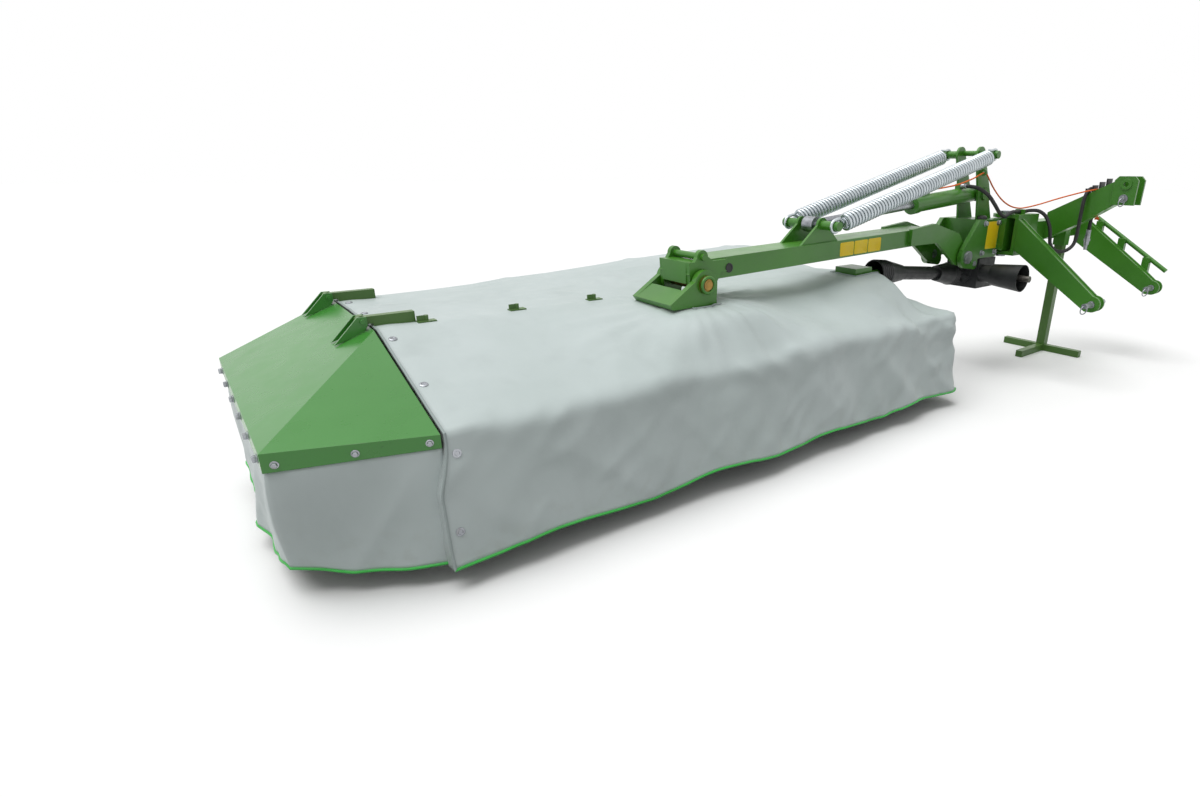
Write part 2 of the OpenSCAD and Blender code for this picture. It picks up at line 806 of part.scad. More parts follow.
module carrier() {
  color(green) place() {
    for (side = [-1, 1]) saddle_plate(boom_y + side * (saddle_in + saddle_t / 2));
    side_plate([
      [mower_pivot_x - nose_out, mower_pivot_z - nose_drop], [mower_pivot_x - nose_in, mower_pivot_z - nose_rise],
      [mower_pivot_x - nose_in, mower_pivot_z - nose_rise - nose_t],
      [mower_pivot_x - nose_out + nose_rise, mower_pivot_z - nose_drop - nose_edge],
    ], boom_y, 2 * saddle_in + past);
    translate([mower_pivot_x - arm_half, boom_y - saddle_in, arm_low])
      cube([2 * arm_half, beam_y - beam_s / 2 - boom_y + saddle_in, arm_high - arm_low]);
  }
}

module mower_pin() {
  color(brass) place() {
    along_y(mower_pivot_x, boom_y, mower_pivot_z, pivot_r, 2 * saddle_out + 2 * pin_head);
    for (side = [-1, 1])
      along_y(mower_pivot_x, boom_y + side * (saddle_out + pin_head / 2), mower_pivot_z, pivot_r + pin_rim, pin_head);
  }
}

bar_margin = 18;
bar_x0 = outer_disc_x - knife_reach - bar_margin;
bar_x1 = inner_disc_x + knife_reach + bar_margin;
module main_beam() {
  color(green) place()
    translate([bar_x0 + end_plate_t, beam_y - beam_s / 2, beam_z - beam_s / 2])
      cube([bar_x1 - bar_x0 - 2 * end_plate_t, beam_s, beam_s]);
}

bar_z1 = skid_h + bar_h;
plate_rise = 60;
module end_plates() {
  color(green) place() for (x = [bar_x0 + end_plate_t / 2, bar_x1 - end_plate_t / 2])
    cross_plate([
      [boom_y - bar_w / 2, skid_h], [boom_y + bar_w / 2, skid_h],
      [beam_y + beam_s / 2, beam_z - beam_s / 2], [beam_y + beam_s / 2, beam_z + beam_s / 2],
      [beam_y - beam_s / 2, beam_z + beam_s / 2], [boom_y - bar_w / 2, bar_z1 + plate_rise],
    ], x, end_plate_t);
}

bar_edge = 25;
module cutter_bar() {
  color(green) place() cross_plate([
    [boom_y - bar_w / 2, skid_h], [boom_y + bar_w / 2, skid_h],
    [boom_y + bar_w / 2, bar_z1 - bar_edge], [boom_y + bar_w / 2 - bar_edge, bar_z1],
    [boom_y - bar_w / 2 + bar_edge, bar_z1], [boom_y - bar_w / 2, bar_z1 - bar_edge],
  ], (bar_x0 + bar_x1) / 2, bar_x1 - bar_x0 - 2 * end_plate_t);
}

skid_w = 300;
skid_nose = 60;
skid_steps = 6;
// A skid's curved nose in y and z, from the ground up to its tip
function skid_curve() = [for (i = [0:skid_steps]) let (turn = 90 * i / skid_steps)
  [boom_y - bar_w / 2 - skid_nose * sin(turn), skid_h * (1 - cos(turn))]];
module skids() {
  color(steel) place() for (i = [0:disc_count - 1])
    cross_plate(concat([[boom_y + bar_w / 2, skid_h], [boom_y + bar_w / 2, 0]], skid_curve()),
      outer_disc_x + i * disc_pitch, skid_w);
}

disc_lift = 30;
disc_z = bar_z1 + disc_lift;
hub_disc_r = 60;
dome_r = 90;
dome_top_r = 60;
dome_h = 40;
drum_r = 100;
drum_top_r = 85;
drum_h = 190;
knife_in = 40;
knife_bolt_r = 14;
knife_bolt_h = 10;
module disc(i) {
  end_disc = i == 0 || i == disc_count - 1;
  translate([outer_disc_x + i * disc_pitch, boom_y, 0]) rotate([0, 0, i % 2 == 0 ? 0 : 90]) {
    translate([0, 0, disc_z]) linear_extrude(disc_t) intersection() {
      circle(d = disc_len);
      square([disc_len, disc_w], center = true);
    }
    translate([0, 0, bar_z1 + rest_gap]) cylinder(r = hub_disc_r, h = disc_z - bar_z1);
    translate([0, 0, disc_z + disc_t])
      cylinder(r1 = end_disc ? drum_r : dome_r, r2 = end_disc ? drum_top_r : dome_top_r, h = end_disc ? drum_h : dome_h);
    for (turn = [0, 180]) rotate([0, 0, turn]) translate([disc_len / 2 - knife_in, 0, disc_z]) {
      translate([-knife_w / 2, -knife_w / 2, -knife_t])
        cube([knife_reach - disc_len / 2 + knife_in + knife_w / 2, knife_w, knife_t]);
      cylinder(r = knife_bolt_r, h = disc_t + knife_bolt_h);
    }
  }
}
module disc_1() { color(steel) place() disc(0); }
module disc_2() { color(steel) place() disc(1); }
module disc_3() { color(steel) place() disc(2); }
module disc_4() { color(steel) place() disc(3); }
module disc_5() { color(steel) place() disc(4); }
module disc_6() { color(steel) place() disc(5); }

// Bevel gearbox over the inner disc, on an arm from the main beam
box_half = 62;
box_drop = 116;
box_over = 48;
box_z0 = cover_top_z - box_drop;
box_z1 = far_joint_z + box_over;
nose_r = 40;
nose_len = 40;
column_r = 70;
column_gap = 15;
column_z0 = disc_z + disc_t + drum_h + column_gap;
box_arm_w = 80;
box_arm_h = 60;
module mower_gearbox() {
  stub_end = far_joint_x - ball_r - ball_gap;
  color(green) place() {
    translate([inner_disc_x - box_half, boom_y - box_half, box_z0])
      cube([2 * box_half, 2 * box_half, box_z1 - box_z0]);
    along_x(inner_disc_x + box_half + nose_len / 2, boom_y, far_joint_z, nose_r, nose_len);
    along_x((inner_disc_x + stub_end) / 2, boom_y, far_joint_z, stub_r, stub_end - inner_disc_x);
    translate([inner_disc_x, boom_y, column_z0]) cylinder(r = column_r, h = box_z0 - column_z0);
    translate([inner_disc_x - box_arm_w / 2, boom_y + box_half, box_z0])
      cube([box_arm_w, beam_y - boom_y - box_half, box_arm_h]);
    translate([inner_disc_x - box_arm_w / 2, beam_y - beam_s / 2, beam_z + beam_s / 2])
      cube([box_arm_w, beam_s, box_z0 - beam_z - beam_s / 2 + box_arm_h]);
  }
}

// Cover

// The cover's section in y and z, set in by a distance
function cover_section(d) = [
  [-cover_w / 2 - skirt_flare + d, hem_z - (d > 0 ? past : 0)],
  [-cover_w / 2 + d, skirt_top_z - d / 2],
  [-top_front + d / 4, cover_top_z - d],
  [top_rear - d / 2, cover_top_z - d],
  [cover_w / 2 - d, skirt_top_z - d / 4],
  [cover_w / 2 + skirt_flare / 2 - d, hem_z - (d > 0 ? past : 0)],
];
// The cover's side view in x and z, set in by a distance at the inner end
function cover_side(d) = [
  [hood_len - d, hem_z - 2 * past],
  [cover_len + skirt_flare / 2 - d, hem_z - 2 * past],
  [cover_len - d, skirt_top_z - d / 2],
  [cover_len - hip_len - d / 4, cover_top_z - d],
  [hood_len - d, cover_top_z - d],
];
module cover_block(d) {
  intersection() {
    translate([hood_len - 2 * sheet_t, 0, 0]) rotate([90, 0, 90])
      linear_extrude(cover_len + skirt_flare - hood_len) polygon(cover_section(d));
    translate([0, cover_w, 0]) rotate([90, 0, 0]) linear_extrude(2 * cover_w) polygon(cover_side(d));
  }
}
// A slit through the top of the cover between two places along it, open on both sides of the boom's plane
slit_gap = 15;
module slit(x0, x1, half, z) {
  translate([x0 - slit_gap, boom_y - half - slit_gap, z])
    cube([x1 - x0 + 2 * slit_gap, 2 * (half + slit_gap), cover_top_z]);
}
module cover() {
  color(fabric) place() difference() {
    cover_block(0);
    cover_block(sheet_t);
    slit(mower_pivot_x - arm_half, mower_pivot_x + arm_half, saddle_out, arm_low);
    slit(inner_disc_x - box_half, inner_disc_x + box_half + nose_len, box_half, box_z0);
  }
}

tube_r = 14;
rail_in = 28;
rail_drop = 16;
end_rail_r = 12;
rail_y = cover_w / 2 - rail_in;
rail_z = skirt_top_z - rail_drop;
rail_start = 20;
rail_x0 = hood_len + rail_start;
rail_end = cover_len - sheet_t - end_rail_r - past;
module cover_rails() {
  color(dark_green) place() {
    for (side = [-1, 1])
      along_x((rail_x0 + rail_end) / 2, side * rail_y, rail_z, tube_r, rail_end - rail_x0);
    along_y(rail_end, 0, rail_z, end_rail_r, 2 * (rail_y - tube_r - rest_gap));
  }
}

bow_h = 28;
bow_w = 24;
bow_in = sheet_t + rest_gap;
post_w = 50;
post_d = 40;
ridge_z = cover_top_z - bow_in - bow_h;
bow_count = 4;
bow_start = 40;
bow_clear = 160;
bow_x0 = hood_len + bow_start;
bow_x1 = inner_disc_x - bow_clear;
// A bow bent to the cover's section, from rail to rail, on its post
module bow(x) {
  translate([x - bow_w / 2, 0, 0]) rotate([90, 0, 90]) linear_extrude(bow_w) difference() {
    polygon(cover_section(bow_in));
    polygon(cover_section(bow_in + bow_h));
    translate([-cover_w, 0]) square([2 * cover_w, rail_z + tube_r + rest_gap]);
  }
  translate([x - post_w / 2, beam_y - post_d / 2, beam_z + beam_s / 2])
    cube([post_w, post_d, ridge_z - beam_z - beam_s / 2]);
}
module cover_bows() {
  color(dark_green) place() for (i = [0:bow_count - 1])
    bow(bow_x0 + (bow_x1 - bow_x0) * i / (bow_count - 1));
}

// Pinned hooks that hold the cover on its top
clip_x0 = 560;
clip_pitch = 320;
clip_count = 3;
clip_len = 60;
clip_w = 30;
clip_t = 4;
clip_h = 22;
module cover_clips() {
  color(dark_green) place() for (i = [0:clip_count - 1])
    translate([clip_x0 + i * clip_pitch, -top_front / 2, cover_top_z]) {
      translate([-clip_len / 2, -clip_w / 2, 0]) cube([clip_len, clip_w, clip_t]);
      translate([-clip_len / 2, -clip_t / 2, 0]) cube([clip_len / 2, clip_t, clip_h]);
      cylinder(d = clip_w / 2, h = clip_h);
    }
}

// Outer hood

hinge_arm_w = 30;
hinge_arm_len = 130;
hinge_arm_gap = 3;
hinge_arm_h = 24;
hinge_eye_r = 16;
strap_in = 60;
strap_y = [top_rear - strap_in, strap_in - top_front];
module hood_arms() {
  arm_z1 = hood_hinge_z + hinge_arm_h / 2;
  color(dark_green) place() for (y = strap_y) difference() {
    union() {
      translate([hood_len + hinge_arm_gap, y - hinge_arm_w / 2, cover_top_z])
        cube([hinge_arm_len, hinge_arm_w, arm_z1 - cover_top_z]);
      translate([hood_hinge_x, y - hinge_arm_w / 2, arm_z1 - hinge_arm_h])
        cube([hinge_back + 2 * hinge_arm_gap, hinge_arm_w, hinge_arm_h]);
      along_y(hood_hinge_x, y, hood_hinge_z, hinge_eye_r, hinge_arm_w);
    }
    along_y(hood_hinge_x, y, hood_hinge_z, hinge_r, 2 * hinge_arm_w);
  }
}

// The hood's inner edge, carried past the end when the hood is set in
function hood_edge(d) = hood_len - hood_gap + (d > 0 ? past : 0);
// The hood's plan outline, set in by a distance and left open to the cover
function hood_plan(d) = [
  [d, -hood_end_w / 2 + d], [hood_edge(d), -cover_w / 2 + d],
  [hood_edge(d), cover_w / 2 - d], [d, hood_end_w / 2 - d],
];
// The hood's upper corners, set in by a distance
function hood_corners(d) = [
  [d, -hood_end_w / 2 + d, hood_end_z - d], [d, hood_end_w / 2 - d, hood_end_z - d],
  [hood_edge(d), cover_w / 2 - d, skirt_top_z - d], [hood_edge(d), -cover_w / 2 + d, skirt_top_z - d],
  [hood_edge(d), -top_front + d / 4, cover_top_z - d], [hood_edge(d), top_rear - d / 2, cover_top_z - d],
];
flange_z = skirt_top_z - flange_h;
speck = 0.01;
module hood_block(d) {
  hull() {
    translate([0, 0, flange_z - (d > 0 ? past : 0)]) linear_extrude(past) polygon(hood_plan(d));
    for (p = hood_corners(d)) translate(p - [speck, speck / 2, speck]) cube(speck);
  }
}
strap_w = 70;
strap_t = 8;
strap_gap = 4;
strap_len = 90;
strap_drop = 40;
strap_heel = 12;
strap_r = 14;
bolt_r = hinge_r - pin_fit;
module hood_strap(y) {
  difference() {
    for (side = [-1, 1]) side_plate([
      [hood_hinge_x - strap_len, cover_top_z - strap_drop], [hood_hinge_x - strap_r, hood_hinge_z + strap_r],
      [hood_hinge_x + strap_r, hood_hinge_z + strap_r], [hood_hinge_x + strap_r, hood_hinge_z - strap_r],
      [hood_hinge_x, cover_top_z - strap_heel],
    ], y + side * (hinge_arm_w / 2 + strap_gap + strap_t / 2), strap_t);
    hood_block(hood_t);
  }
  along_y(hood_hinge_x, y, hood_hinge_z, bolt_r, strap_w);
}
// Bolts along the flange of the outer edge
flange_bolt = 14;
flange_bolts = 6;
flange_bolt_in = 60;
module flange_bolt_row() {
  span = hood_end_w - 2 * flange_bolt_in;
  for (i = [0:flange_bolts - 1])
    translate([0, span * (i / (flange_bolts - 1) - 0.5), flange_z + flange_h / 2]) rotate([0, -90, 0])
      bolt_head(flange_bolt);
}
module end_hood() {
  color(green) place() {
    difference() {
      hood_block(0);
      hood_block(hood_t);
    }
    for (y = strap_y) hood_strap(y);
    flange_bolt_row();
  }
}

curtain_t = 6;
module end_curtain() {
  color(fabric) place() translate([0, 0, hem_z]) linear_extrude(flange_z - hem_z) difference() {
    polygon(hood_plan(0));
    polygon(hood_plan(curtain_t));
  }
}

// Lift cylinder and springs

lift_len = norm([base_x - spring_pin_x, base_z - spring_pin_z]);
lift_tilt = atan2(base_z - spring_pin_z, base_x - spring_pin_x);
// The cylinder's own axes: Z along it from its base to the rod's eye, X up
module lift_axis() {
  translate([base_x, boom_y, base_z]) rotate([0, 270 - lift_tilt, 0]) children();
}
bore_fit = 0.3;
bore_in = 70;
gland_len = 45;
gland_wall = 5;
port_at = 160;
port_s = 30;
port_h = 24;
flap_len = 90;
flap_w = 36;
flap_h = 30;
module lift_barrel() {
  color(green) place() difference() {
    union() {
      lift_axis() cylinder(r = barrel_r, h = barrel_len);
      lift_axis() translate([0, 0, barrel_len - gland_len]) cylinder(r = barrel_r + gland_wall, h = gland_len);
      lift_axis() translate([0, -port_s / 2, port_at - port_s / 2]) cube([barrel_r + port_h, port_s, port_s]);
      lift_axis() translate([0, -flap_w / 2, barrel_len - gland_len - flap_len])
        cube([barrel_r + flap_h, flap_w, flap_len]);
      along_y(base_x, boom_y, base_z, barrel_r, 2 * tower_in - tower_t - 2 * side_fit);
    }
    along_y(base_x, boom_y, base_z, pivot_r + pin_fit, 2 * tower_in);
    lift_axis() translate([0, 0, bore_in]) cylinder(r = rod_r + bore_fit, h = barrel_len);
  }
}
rod_in = 60;
eye_lap = 20;
eye_w = 60;
eye_pin_r = 14;
eye_pin_w = 90;
module lift_rod() {
  color(zinc) place() {
    lift_axis() translate([0, 0, barrel_len - rod_in])
      cylinder(r = rod_r, h = lift_len - barrel_len + rod_in - eye_lap);
    along_y(spring_pin_x, boom_y, spring_pin_z, eye_r, eye_w);
    along_y(spring_pin_x, boom_y, spring_pin_z, eye_pin_r, eye_pin_w);
  }
}

spring_len = norm([tower_x - spring_pin_x, tower_z - spring_pin_z]);
spring_tilt = atan2(tower_z - spring_pin_z, tower_x - spring_pin_x);
hook_len = 60;
hook_gap = 0.4;
hook_ring = bar_r + hook_gap + wire_r;
coil_len = spring_len - 2 * hook_len;
coil_pitch = 3 * wire_r;
coil_count = floor(coil_len / coil_pitch);
// The spring's outline in radius and length: one rise and fall for each turn of the wire
function coil_outline() = concat([[0, 0]],
  [for (i = [0:2 * coil_count]) [spring_r - (i % 2 == 0 ? wire_r : 0), coil_len * i / (2 * coil_count)]],
  [[0, coil_len]]);
module spring_hook() {
  rotate([90, 0, 0]) rotate_extrude() translate([hook_ring, 0]) circle(r = wire_r, $fn = 24);
  translate([0, 0, hook_ring]) cylinder(r = wire_r, h = hook_len - hook_ring + past);
}
module relief_spring(y) {
  translate([tower_x, y, tower_z]) rotate([0, 270 - spring_tilt, 0]) {
    translate([0, 0, hook_len]) rotate_extrude() polygon(coil_outline());
    spring_hook();
    translate([0, 0, spring_len]) mirror([0, 0, 1]) spring_hook();
  }
}
module relief_spring_front() { color(zinc) place() relief_spring(boom_y - spring_half); }
module relief_spring_rear() { color(zinc) place() relief_spring(boom_y + spring_half); }

// Driveline

// The shaft's own axes: Z along it from the joint under the lift pivot to the mower's gearbox
module drive_axis() {
  translate([joint_x, boom_y, joint_z]) rotate([0, 270 + drive_tilt, 0]) children();
}
bell_t = 4;
bell_mouth = 60;
bell_collar = 40;
bell_len = 170;
bell_rim = 6;
inner_r = 28;
cross_r = 14;
cross_len = 70;
tube_lap = 240;
slide_gap = 0.5;
module bell(mouth) {
  rotate_extrude() polygon([
    [bell_r - bell_t, -mouth], [bell_r, -mouth], [bell_r, bell_collar], [shaft_r + bell_rim, bell_len],
    [inner_r - slide_gap, bell_len], [inner_r - slide_gap, bell_len - bell_t],
    [bell_r - bell_t, bell_collar - bell_t],
  ]);
}
module drive_joint() {
  color(black) place() {
    along_y(joint_x, boom_y, joint_z, cross_r, cross_len);
    translate([joint_x, boom_y, joint_z]) sphere(r = ball_r);
  }
}
module drive_inner() {
  color(black) place() drive_axis() {
    bell(0);
    translate([0, 0, ball_r + ball_gap])
      cylinder(r = inner_r - slide_gap, h = drive_len / 2 + tube_lap / 2 - ball_r);
  }
}
module drive_outer() {
  tube_z0 = drive_len / 2 - tube_lap / 2;
  color(black) place() drive_axis() {
    difference() {
      translate([0, 0, tube_z0]) cylinder(r = shaft_r, h = drive_len - bell_len - tube_z0 + bell_collar);
      translate([0, 0, tube_z0 - past]) cylinder(r = inner_r, h = tube_lap + bell_mouth);
    }
    translate([0, 0, drive_len]) mirror([0, 0, 1]) bell(bell_mouth);
  }
}

// Hoses and rope

// Rings of points along a route, each square to it and carried on from the last without twist
function unit(v) = v / norm(v);
function heading(p, i) = unit(p[min(i + 1, len(p) - 1)] - p[max(i - 1, 0)]);
function square_to(a, t) = unit(a - (a * t) * t);
function sides(p) = [
  for (i = 0, a = square_to([0.3, 0.8, 0.5], heading(p, 0)); i < len(p);
    a = square_to(a, heading(p, min(i + 1, len(p) - 1))), i = i + 1) a];
function ring(c, t, a, r, n) =
  [for (k = [0:n - 1]) c + r * (cos(360 * k / n) * a + sin(360 * k / n) * cross(t, a))];
function tube_faces(m, n) = concat(
  [[for (k = [0:n - 1]) k]],
  [[for (k = [n - 1:-1:0]) (m - 1) * n + k]],
  [for (i = [0:m - 2], k = [0:n - 1])
    [i * n + k, (i + 1) * n + k, (i + 1) * n + (k + 1) % n, i * n + (k + 1) % n]]);
// A smooth curve through a route's points
function spline(p, i, t) =
  let (a = p[max(i - 1, 0)], b = p[i], c = p[i + 1], d = p[min(i + 2, len(p) - 1)])
  0.5 * (2 * b + (c - a) * t + (2 * a - 5 * b + 4 * c - d) * t * t + (3 * b - a - 3 * c + d) * t * t * t);
function smooth(p, steps) = concat(
  [for (i = [0:len(p) - 2], s = [0:steps - 1]) spline(p, i, s / steps)], [p[len(p) - 1]]);
tube_sides = 8;
module tube(route, r, steps) {
  p = [for (q = smooth(route, steps)) q + [pivot_x, boom_y, pivot_z]];
  a = sides(p);
  polyhedron([for (i = [0:len(p) - 1]) each ring(p[i], heading(p, i), a[i], r, tube_sides)],
    tube_faces(len(p), tube_sides));
}

// Routes, measured from the lift pivot
hose_r = 10;
rope_r = 4;
hose_lift_route = [
  [33, -16, 371], [33, -62, 371], [48, -108, 362], [85, -148, 328], [130, -168, 280], [180, -176, 236],
  [235, -178, 214], [290, -176, 225], [335, -172, 234], [378, -170, 233], [420, -170, 232],
];
hose_tractor_route = [
  [440, -170, 232], [485, -171, 233], [526, -186, 237], [560, -216, 234], [581, -250, 206], [584, -280, 152],
  [585, -292, 104], [592, -298, 54], [615, -316, 20], [646, -340, 9], [678, -364, 20], [701, -382, 50],
  [709, -388, 96],
  [709, -388, 142], [709, -388, 188], [709, -388, 234], [710, -388, 280], [720, -388, 320], [748, -388, 351],
  [787, -388, 362], [826, -388, 351], [854, -388, 320], [864, -388, 280], [865, -388, 234], [865, -388, 188],
  [865, -388, 142], [865, -388, 96],
];
rope_route = [
  [-270, 0, 352], [-215, -6, 358], [-160, -24, 365], [-60, -52, 382], [35, -72, 410], [90, -81, 431],
  [125, -82, 440], [160, -84, 430], [215, -100, 365], [270, -126, 305], [330, -150, 268], [400, -166, 253],
  [470, -176, 254], [560, -212, 272], [625, -285, 306], [680, -368, 338], [730, -418, 355], [787, -423, 358],
  [827, -423, 359],
  [850, -423, 335], [853, -423, 260], [853, -423, 190],
];
coarse = 1;
fine = 2;
module hose_lift() { color(black) place() tube(hose_lift_route, hose_r, fine); }
module hose_tractor() { color(black) place() tube(hose_tractor_route, hose_r, coarse); }
module rope_lock() { color(orange) place() tube(rope_route, rope_r, coarse); }

coupler_r = 14;
coupler_len = 55;
coupler_nose_r = 10;
coupler_nose = 30;
coupler_rim = 4;
coupler_rim_h = 12;
// Quick coupler on the free end of the tractor hose
module hose_coupler() {
  color(zinc) place() translate([pivot_x, boom_y, pivot_z] + hose_tractor_route[len(hose_tractor_route) - 1])
    mirror([0, 0, 1]) {
      cylinder(r = coupler_r, h = coupler_len);
      translate([0, 0, (coupler_len - coupler_rim_h) / 2]) cylinder(r = coupler_r + coupler_rim, h = coupler_rim_h);
      cylinder(r = coupler_nose_r, h = coupler_len + coupler_nose);
    }
}

three_point_frame();
kingpin();
lower_arm_near();
lower_arm_far();
top_link_beam();
hitch_pins();
latch_rod();
hose_comb();
parking_stand();
swing_head();
spring_tower();
angle_gearbox();
input_guard();
input_shaft();
boom_pins();
boom();
spring_bracket();
carrier();
mower_pin();
main_beam();
end_plates();
cutter_bar();
skids();
mower_gearbox();
cover_rails();
cover_bows();
cover();
cover_clips();
hood_arms();
end_hood();
end_curtain();
disc_1();
disc_2();
disc_3();
disc_4();
disc_5();
disc_6();
lift_barrel();
lift_rod();
relief_spring_front();
relief_spring_rear();
drive_joint();
drive_inner();
drive_outer();
hose_lift();
hose_tractor();
hose_coupler();
rope_lock();
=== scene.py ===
import math

import bpy
import numpy as np
from mathutils import Matrix, Vector, noise


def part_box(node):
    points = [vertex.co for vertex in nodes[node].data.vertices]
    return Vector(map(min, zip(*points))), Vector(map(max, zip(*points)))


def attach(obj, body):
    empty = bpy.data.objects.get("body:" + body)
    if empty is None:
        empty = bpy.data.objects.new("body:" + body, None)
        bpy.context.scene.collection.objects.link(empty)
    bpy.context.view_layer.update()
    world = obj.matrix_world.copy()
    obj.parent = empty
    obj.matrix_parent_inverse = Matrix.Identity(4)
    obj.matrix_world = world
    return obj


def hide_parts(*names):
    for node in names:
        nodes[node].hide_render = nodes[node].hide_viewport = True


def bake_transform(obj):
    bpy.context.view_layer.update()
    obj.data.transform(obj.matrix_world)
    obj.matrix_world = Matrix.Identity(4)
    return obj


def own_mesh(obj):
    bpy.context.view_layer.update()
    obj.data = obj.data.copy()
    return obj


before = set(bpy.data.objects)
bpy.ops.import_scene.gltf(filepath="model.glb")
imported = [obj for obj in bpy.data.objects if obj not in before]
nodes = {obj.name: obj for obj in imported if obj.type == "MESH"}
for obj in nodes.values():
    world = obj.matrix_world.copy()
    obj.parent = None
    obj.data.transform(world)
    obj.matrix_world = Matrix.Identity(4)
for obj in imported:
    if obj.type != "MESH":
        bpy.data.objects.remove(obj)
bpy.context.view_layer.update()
scene = bpy.context.scene
# The boom's middle plane, and the pivot in it that the cords' routes are measured from
BOOM_Y = -0.0775
PIVOT = np.array([1.0115, BOOM_Y, 0.655])


# Camera and light

EYE = (-2.429, -2.106, 1.116)
YAW, PITCH, ROLL = math.radians(39.16), math.radians(19.43), math.radians(0.66)
# Focal length and shift, in pixels of a picture of this width
PICTURE_W, FOCAL, SHIFT_X, SHIFT_Y = 1200, 652.0, -99.5, -2.8
SENSOR, VIEW_END = 36, 200
# Strength of the white surroundings as light on the part, and as they are seen
FILL, SEEN = 0.42, 1.0
WHITE = (1.0, 1.0, 1.0, 1)
SUN, SUN_WAY, SUN_WIDTH = 2.1, (0.32, -0.12, -1.0), math.radians(50)


def set_camera():
    look = Vector((math.cos(PITCH) * math.sin(YAW), math.cos(PITCH) * math.cos(YAW), -math.sin(PITCH)))
    level = Vector((math.cos(YAW), -math.sin(YAW), 0))
    up = level.cross(look)
    right = math.cos(ROLL) * level + math.sin(ROLL) * up
    up = math.cos(ROLL) * up - math.sin(ROLL) * level
    data = bpy.data.cameras.new("camera")
    data.sensor_width = SENSOR
    data.lens = FOCAL / PICTURE_W * SENSOR
    data.shift_x = SHIFT_X / PICTURE_W
    data.shift_y = SHIFT_Y / PICTURE_W
    data.clip_end = VIEW_END
    cam = bpy.data.objects.new("camera", data)
    turn = Matrix((right, up, -look)).transposed().to_4x4()
    cam.matrix_world = Matrix.Translation(EYE) @ turn
    scene.collection.objects.link(cam)
    scene.camera = cam


def seen_directly(tree):
    """1 for rays from the camera or off mirror-like and clear surfaces, 0 for light on the part."""
    path = tree.nodes.new("ShaderNodeLightPath")
    total = path.outputs["Is Camera Ray"]
    for key in ("Is Glossy Ray", "Is Transmission Ray"):
        add = tree.nodes.new("ShaderNodeMath")
        add.use_clamp = True
        tree.links.new(total, add.inputs[0])
        tree.links.new(path.outputs[key], add.inputs[1])
        total = add.outputs["Value"]
    return total


def set_light():
    world = bpy.data.worlds.new("studio")
    world.use_nodes = True
    tree = world.node_tree
    sky = tree.nodes["Background"]
    sky.inputs["Color"].default_value = WHITE
    strength = tree.nodes.new("ShaderNodeMapRange")
    strength.inputs["To Min"].default_value = FILL
    strength.inputs["To Max"].default_value = SEEN
    tree.links.new(seen_directly(tree), strength.inputs["Value"])
    tree.links.new(strength.outputs["Result"], sky.inputs["Strength"])
    scene.world = world
    sun = bpy.data.lights.new("sky", "SUN")
    sun.energy = SUN
    sun.angle = SUN_WIDTH
    lamp = bpy.data.objects.new("sky", sun)
    lamp.rotation_euler = Vector(SUN_WAY).to_track_quat("-Z", "Y").to_euler()
    scene.collection.objects.link(lamp)


set_camera()
set_light()
scene.view_settings.view_transform = "Standard"


# Materials

# Noise values between which a change from one end to the other runs
MID = (0.3, 0.7)
# A mix node's sockets for colours, which share their names with other sockets
MIX_A, MIX_B, MIX_OUT = 6, 7, 2


def linear(rgb):
    """The linear colour of an sRGB one whose channels run from 0 to 255."""
    return [((c / 255 + 0.055) / 1.055) ** 2.4 if c > 10 else c / 255 / 12.92 for c in rgb] + [1.0]


